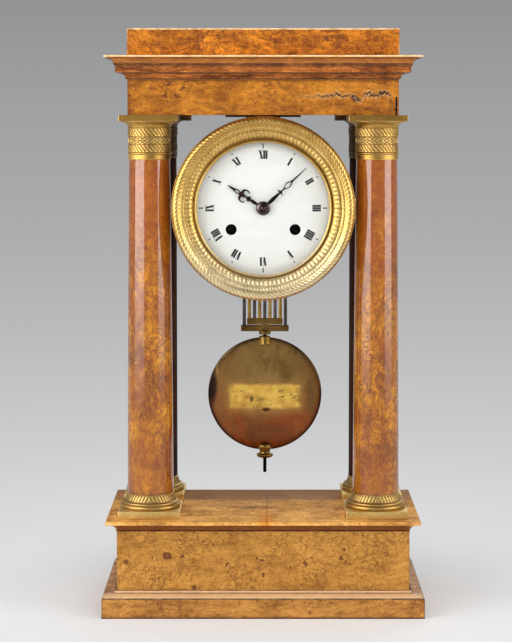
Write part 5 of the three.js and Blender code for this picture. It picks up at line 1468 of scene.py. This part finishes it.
def build_bob():
    low, high, _, half = spans("pendulum_bob")
    x, y, centre_z = bob_centre()
    radius = half.x
    face = [((radius - BOB_EDGE) * i / 24, -BOB_HALF + (BOB_HALF - 1.9) * (i / 24) ** 2) for i in range(25)]
    rim = [(radius - 1.5, -1.5), *arc(radius - 1.4, 0, 1.4, -70, 70, 8), (radius - 1.5, 1.5)]
    bm = fresh()
    spun(bm, [*face, *rim, *((r, -along) for r, along in reversed(face))], (x, y, centre_z), DEEP, 160)
    hollow = marks(bm)[0]
    for vert in bm.verts:
        out = math.hypot(vert.co.x - x, vert.co.z - centre_z)
        vert[hollow] = max(0.0, min(0.9, (out - radius + 4.5) / 4.5))
    piece("pendulum_bob_lens", bm, "bronzed_brass", "bob", "pendulum_bob", body="bob_body", creases=None)

    bm = fresh()
    top = [(0, 0), (4.5, 0), (4.9, -0.4), (4.9, -5.2), (5.2, -5.8), (5.1, -7.2), (4.2, -7.9), (0, -8.0)]
    foot = [(0, 0), (4.4, 0), (4.9, 0.6), (5.0, 1.9), (5.7, 2.6), (6.1, 3.6), (5.9, 5.0), (4.2, 6.6), (0, 7.0)]
    spun(bm, top, (x, y - 2.6, high.z), UP, 40)
    spun(bm, foot, (x, y - 1.2, low.z), UP, 40)
    piece("pendulum_bob_ferrules", bm, "bronzed_brass", "old_brass", body="bob_body", creases=(0.6, 1.0, 0.3))


NUT_KNURLS = 40
KNURL_DEEP = 0.45


def build_nut():
    low, high, middle, _ = spans("rating_nut")
    x, y, tall = middle.x, middle.y, high.z - low.z
    profile = [(1.8, 0), (5.0, 0), (6.6, 0.9), (7.15, 1.8), (7.15, 2.6), (6.5, 3.3), (4.8, 3.6), (4.4, 4.1),
               (4.4, tall - 0.5), (4.0, tall), (1.8, tall), (1.8, 0)]
    bm = fresh()
    made = spun(bm, sampled(profile, 0.6), (x, y, low.z), UP, 240)
    hollow = marks(bm)[0]
    for vert in made:
        dx, dy = vert.co.x - x, vert.co.y - y
        radius = math.hypot(dx, dy)
        if radius > 6.3:
            cut = KNURL_DEEP * (0.5 - 0.5 * math.cos(NUT_KNURLS * math.atan2(dy, dx))) ** 2
            vert.co.x -= dx / radius * cut
            vert.co.y -= dy / radius * cut
            vert[hollow] = cut / KNURL_DEEP
    piece("rating_nut_milled", bm, "brass", "old_brass", "rating_nut", body="rating_nut_body",
          creases=(0.6, 1.0, 0.0))


# Movement drum, bell and hammer, seen from the sides and the back

DRUM_R = 58.0
DRUM_WALL = 1.2
FLANGE = (55.1, 74.0, -45.7, -43.7)
DRUM_BACK_Y = 10.0
BELL_WALL = 1.4
BELL_STAND = (40.0, 327.5)
HAMMER = (-37.9, 297.5)


def build_drum():
    cz = spans("dial")[2].z
    inner, outer, front, back = FLANGE
    profile = [(inner, front), (outer, front), (outer, back), (DRUM_R, back), (DRUM_R, DRUM_BACK_Y - 1.6),
               (DRUM_R - 0.3, DRUM_BACK_Y - 0.6), (DRUM_R - 0.7, DRUM_BACK_Y), (DRUM_R - DRUM_WALL, DRUM_BACK_Y),
               (DRUM_R - DRUM_WALL, back), (inner, back), (inner, front)]
    bm = fresh()
    spun(bm, sampled(eased(profile, 0.25), 2.5), (0, 0, cz), DEEP, 192)
    for z0, z1 in ((-PIN_HALF, -4), (4, PIN_HALF)):
        knuckle = [(0, z0), (KNUCKLE_R, z0), (KNUCKLE_R, z1), (0, z1)]
        spun(bm, eased(knuckle, 0.2), (HINGE_X, HINGE_Y, cz), UP, 20)
    piece("movement_drum_spun", bm, "brass", "brass", "movement_drum", creases=(0.4, 1.0, 0.2))


def build_bell():
    low, high, middle, half = spans("bell")
    rim_r, rise = half.x, high.y - low.y
    outer = [(rim_r * math.cos(a) ** 0.8, rise * math.sin(a)) for a in [math.pi / 2 * i / 20 for i in range(20)]]
    inner = [(r - BELL_WALL, along * (rise - BELL_WALL) / rise) for r, along in outer if r > BELL_WALL + 0.4]
    rows = [(0, rise), *reversed(outer), *inner, (0, rise - BELL_WALL)]
    bm = fresh()
    spun(bm, rows, (middle.x, low.y, middle.z), DEEP, 128)
    piece("bell_cast", bm, "bell_bronze", "bell", "bell", creases=(0.4, 0.6, 0.0))


def build_bell_stand():
    low, high = box_of("bell_stand")
    x, z = BELL_STAND
    post = [(0, low.y), (1.8, low.y), (1.8, 6.5), (1.5, 7.0), (1.5, 51.0), (1.8, 51.5), (1.8, high.y), (0, high.y)]
    knob = [(0, 49.1), (2.6, 49.1), (3.0, 49.6), (3.0, 50.3), (1.2, 50.3), (1.2, 52.5), (0, 52.5)]
    bm = fresh()
    spun(bm, eased(post, 0.2), (x, 0, z), DEEP, 28)
    block(bm, (low.x, 52.3, z - 3), (x + 1.8, high.y, z + 3), rounding=0.5, guards=(1.2,))
    spun(bm, eased(knob, 0.15), (0, 0, z), DEEP, 28)
    piece("bell_stand_turned", bm, "brass", "steel", "bell_stand", creases=(0.5, 1.0, 0.2))


def build_hammer():
    x, z = HAMMER
    arbor = [(0, 3.0), (0.7, 3.0), (0.7, 4.2), (1.4, 4.5), (1.4, 36.8), (0.9, 38.0), (0, 38.0)]
    head = [(0, 33.5), (2.6, 33.5), (3.4, 34.2), (3.5, 35.2), (3.5, 38.2), (3.0, 39.3), (1.6, 39.9), (0, 40.0)]
    bm = fresh()
    spun(bm, eased(arbor, 0.15), (x, 0, z), DEEP, 24)
    block(bm, (x - 1, 35, z), (x + 1, 37, z + 21.5), rounding=0.3, guards=(0.8,))
    spun(bm, eased(head, 0.2), (x, 0, z + 23.3), DEEP, 36)
    piece("hammer_turned", bm, "steel", "steel", "hammer", body="hammer_body", creases=(0.5, 1.0, 0.2))


# Background: a pale floor that greys with distance, under soft lamps

FLOOR_R = 60.0
LIT_R = (0.17, 0.42)
FLOOR_TONE = (238, 239, 240)
BACKDROP_LOW = (161, 162, 163)
BACKDROP_HIGH = (146, 147, 148)
# The floor's tone by its distance, which comes in as distance / (distance + FAR_HALF)
FAR_HALF = 1.5
FAR_TONES = ((0.0, (231, 231, 232)), (0.16, (221, 221, 222)), (0.24, (216, 216, 217)), (0.34, (206, 206, 207)),
             (0.6, (185, 185, 186)), (0.84, (169, 169, 171)), (1.0, BACKDROP_LOW))
AMBIENT = 0.36
# What glossy surfaces see of the room: places along Y and radiances
ROOM = ((0.15, 0.2), (0.5, 0.33))


def add_floor():
    finish = Finish("paper_floor")
    reach = finish.place.length()
    paper = finish.place.noise(240, 3, 0.6).ramp((0.3, [tone - 2 for tone in FLOOR_TONE]), (0.7, FLOOR_TONE))
    finish.done(paper, 0.9)
    glow = finish.node("ShaderNodeEmission", {"Color": (reach / (reach + FAR_HALF)).ramp(*FAR_TONES)})
    seen = finish.ray("Camera").max(finish.ray("Glossy")).max(finish.ray("Transmission"))
    finish.show(finish.blend(seen * reach.spread(*LIT_R, smooth=True), Value(finish, finish.skin.outputs[0]), glow))

    bm = fresh()
    bmesh.ops.create_circle(bm, cap_ends=True, radius=FLOOR_R, segments=96)
    mesh = bpy.data.meshes.new("floor")
    bm.to_mesh(mesh)
    bm.free()
    mesh.materials.append(finish.material)
    floor = bpy.data.objects.new("floor", mesh)
    bpy.context.scene.collection.objects.link(floor)


def add_world():
    world = bpy.data.worlds.new("studio")
    bpy.context.scene.world = world
    room = Nodes(world)
    _, ahead, up = room.node("ShaderNodeTexCoord", {}, "Generated").parts()
    backdrop = up.ramp((0.0, BACKDROP_LOW), (0.06, BACKDROP_HIGH))
    seen = room.node("ShaderNodeBackground", {"Color": backdrop})
    light = room.node("ShaderNodeBackground", {"Color": (1, 1, 1, 1), "Strength": AMBIENT})
    mirrored = ahead.ramp(*((at, BACKDROP_LOW) for at, level in ROOM))
    for element, (at, level) in zip(mirrored.socket.node.color_ramp.elements, ROOM):
        element.color = (level, level, level, 1)
    shown = room.node("ShaderNodeBackground", {"Color": mirrored})
    glossy = room.blend(room.ray("Glossy"), light, shown)
    mixed = room.blend(room.ray("Camera").max(room.ray("Transmission")), glossy, seen)
    room.show(mixed, "World Output")


def add_lamp(name, degrees, distance, height, size, power, aim_z=0.25, matt=True, gloss=True):
    """A soft box at an angle round the clock, degrees counted from the front towards the right.
    matt and gloss say whether it lights matt surfaces and shows in glossy ones."""
    data = bpy.data.lights.new(name, "AREA")
    data.shape = "RECTANGLE"
    data.size, data.size_y = size
    data.energy = power
    lamp = bpy.data.objects.new(name, data)
    angle = math.radians(degrees)
    at = Vector((distance * math.sin(angle), -distance * math.cos(angle), height))
    lamp.location = at
    lamp.rotation_euler = (Vector((0, 0, aim_z)) - at).to_track_quat("-Z", "Y").to_euler()
    lamp.visible_camera = False
    lamp.visible_diffuse = matt
    lamp.visible_glossy = gloss
    bpy.context.scene.collection.objects.link(lamp)


# Upright steps of the boxes that show in gloss: bottom, top and share of the full radiance
GLEAM_STEPS = ((0.27, 1.25, 1.0), (0.21, 0.27, 0.8), (0.15, 0.21, 0.6), (0.10, 0.15, 0.42), (0.05, 0.10, 0.28),
               (0.01, 0.05, 0.16))
GLEAM_AT = 1.3


def add_gleam(name, degrees, width, radiance):
    """A box that shows only in glossy surfaces, fading towards the floor."""
    for step, (bottom, top, share) in enumerate(GLEAM_STEPS):
        power = math.pi * width * (top - bottom) * radiance * share
        middle = (bottom + top) / 2
        add_lamp(f"{name}_{step}", degrees, GLEAM_AT, middle, (width, top - bottom), power, aim_z=middle, matt=False)


def add_lamps():
    add_lamp("left_softbox", -56, 2.4, 1.05, (2.35, 1.9), 34, gloss=False)
    add_lamp("right_softbox", 63.6, 2.4, 1.05, (1.66, 1.9), 19, gloss=False)
    add_gleam("left_gleam", -56, 1.27, 5.2)
    add_gleam("right_gleam", 63.6, 0.9, 4.5)
    add_lamp("front_fill", 6, 2.6, 1.3, (1.8, 1.4), 22, gloss=False)
    add_lamp("overhead", 0, 0.45, 2.2, (1.4, 1.4), 12, gloss=False)
    add_lamp("back_fill", 165, 2.0, 1.3, (1.2, 1.0), 7)


# Frame nodes whose shape is right and which only get a better finish
KEPT = {
    "brass": ("back_plate", "centre_wheel", "third_wheel", "escape_wheel", "going_barrel", "strike_barrel",
              "suspension_cock", "cannon_pinion", "hour_wheel", "minute_wheel", "crutch"),
    "steel": ("bezel_hinge_pin", "pallet_anchor"),
    # The brass front plate is finished black as painted shade, so the winding holes look dark inside
    "black_steel": ("front_plate", "going_winding_arbor", "strike_winding_arbor"),
    "dark_wood": ("hanger_bracket",),
    "carcass": ("frieze_back_panel",),
}


def finish_kept():
    for material, nodes in KEPT.items():
        for node in nodes:
            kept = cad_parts[node].data.materials
            kept.clear()
            kept.append(MAT[material])


for step in (add_camera, add_world, add_lamps, add_floor, build_base, build_columns, build_entablature, build_bezel,
             build_dial, build_hands, build_gridiron, build_bob, build_nut, build_drum, build_bell, build_bell_stand,
             build_hammer, finish_kept):
    step()

bpy.context.scene.view_settings.view_transform = "Standard"
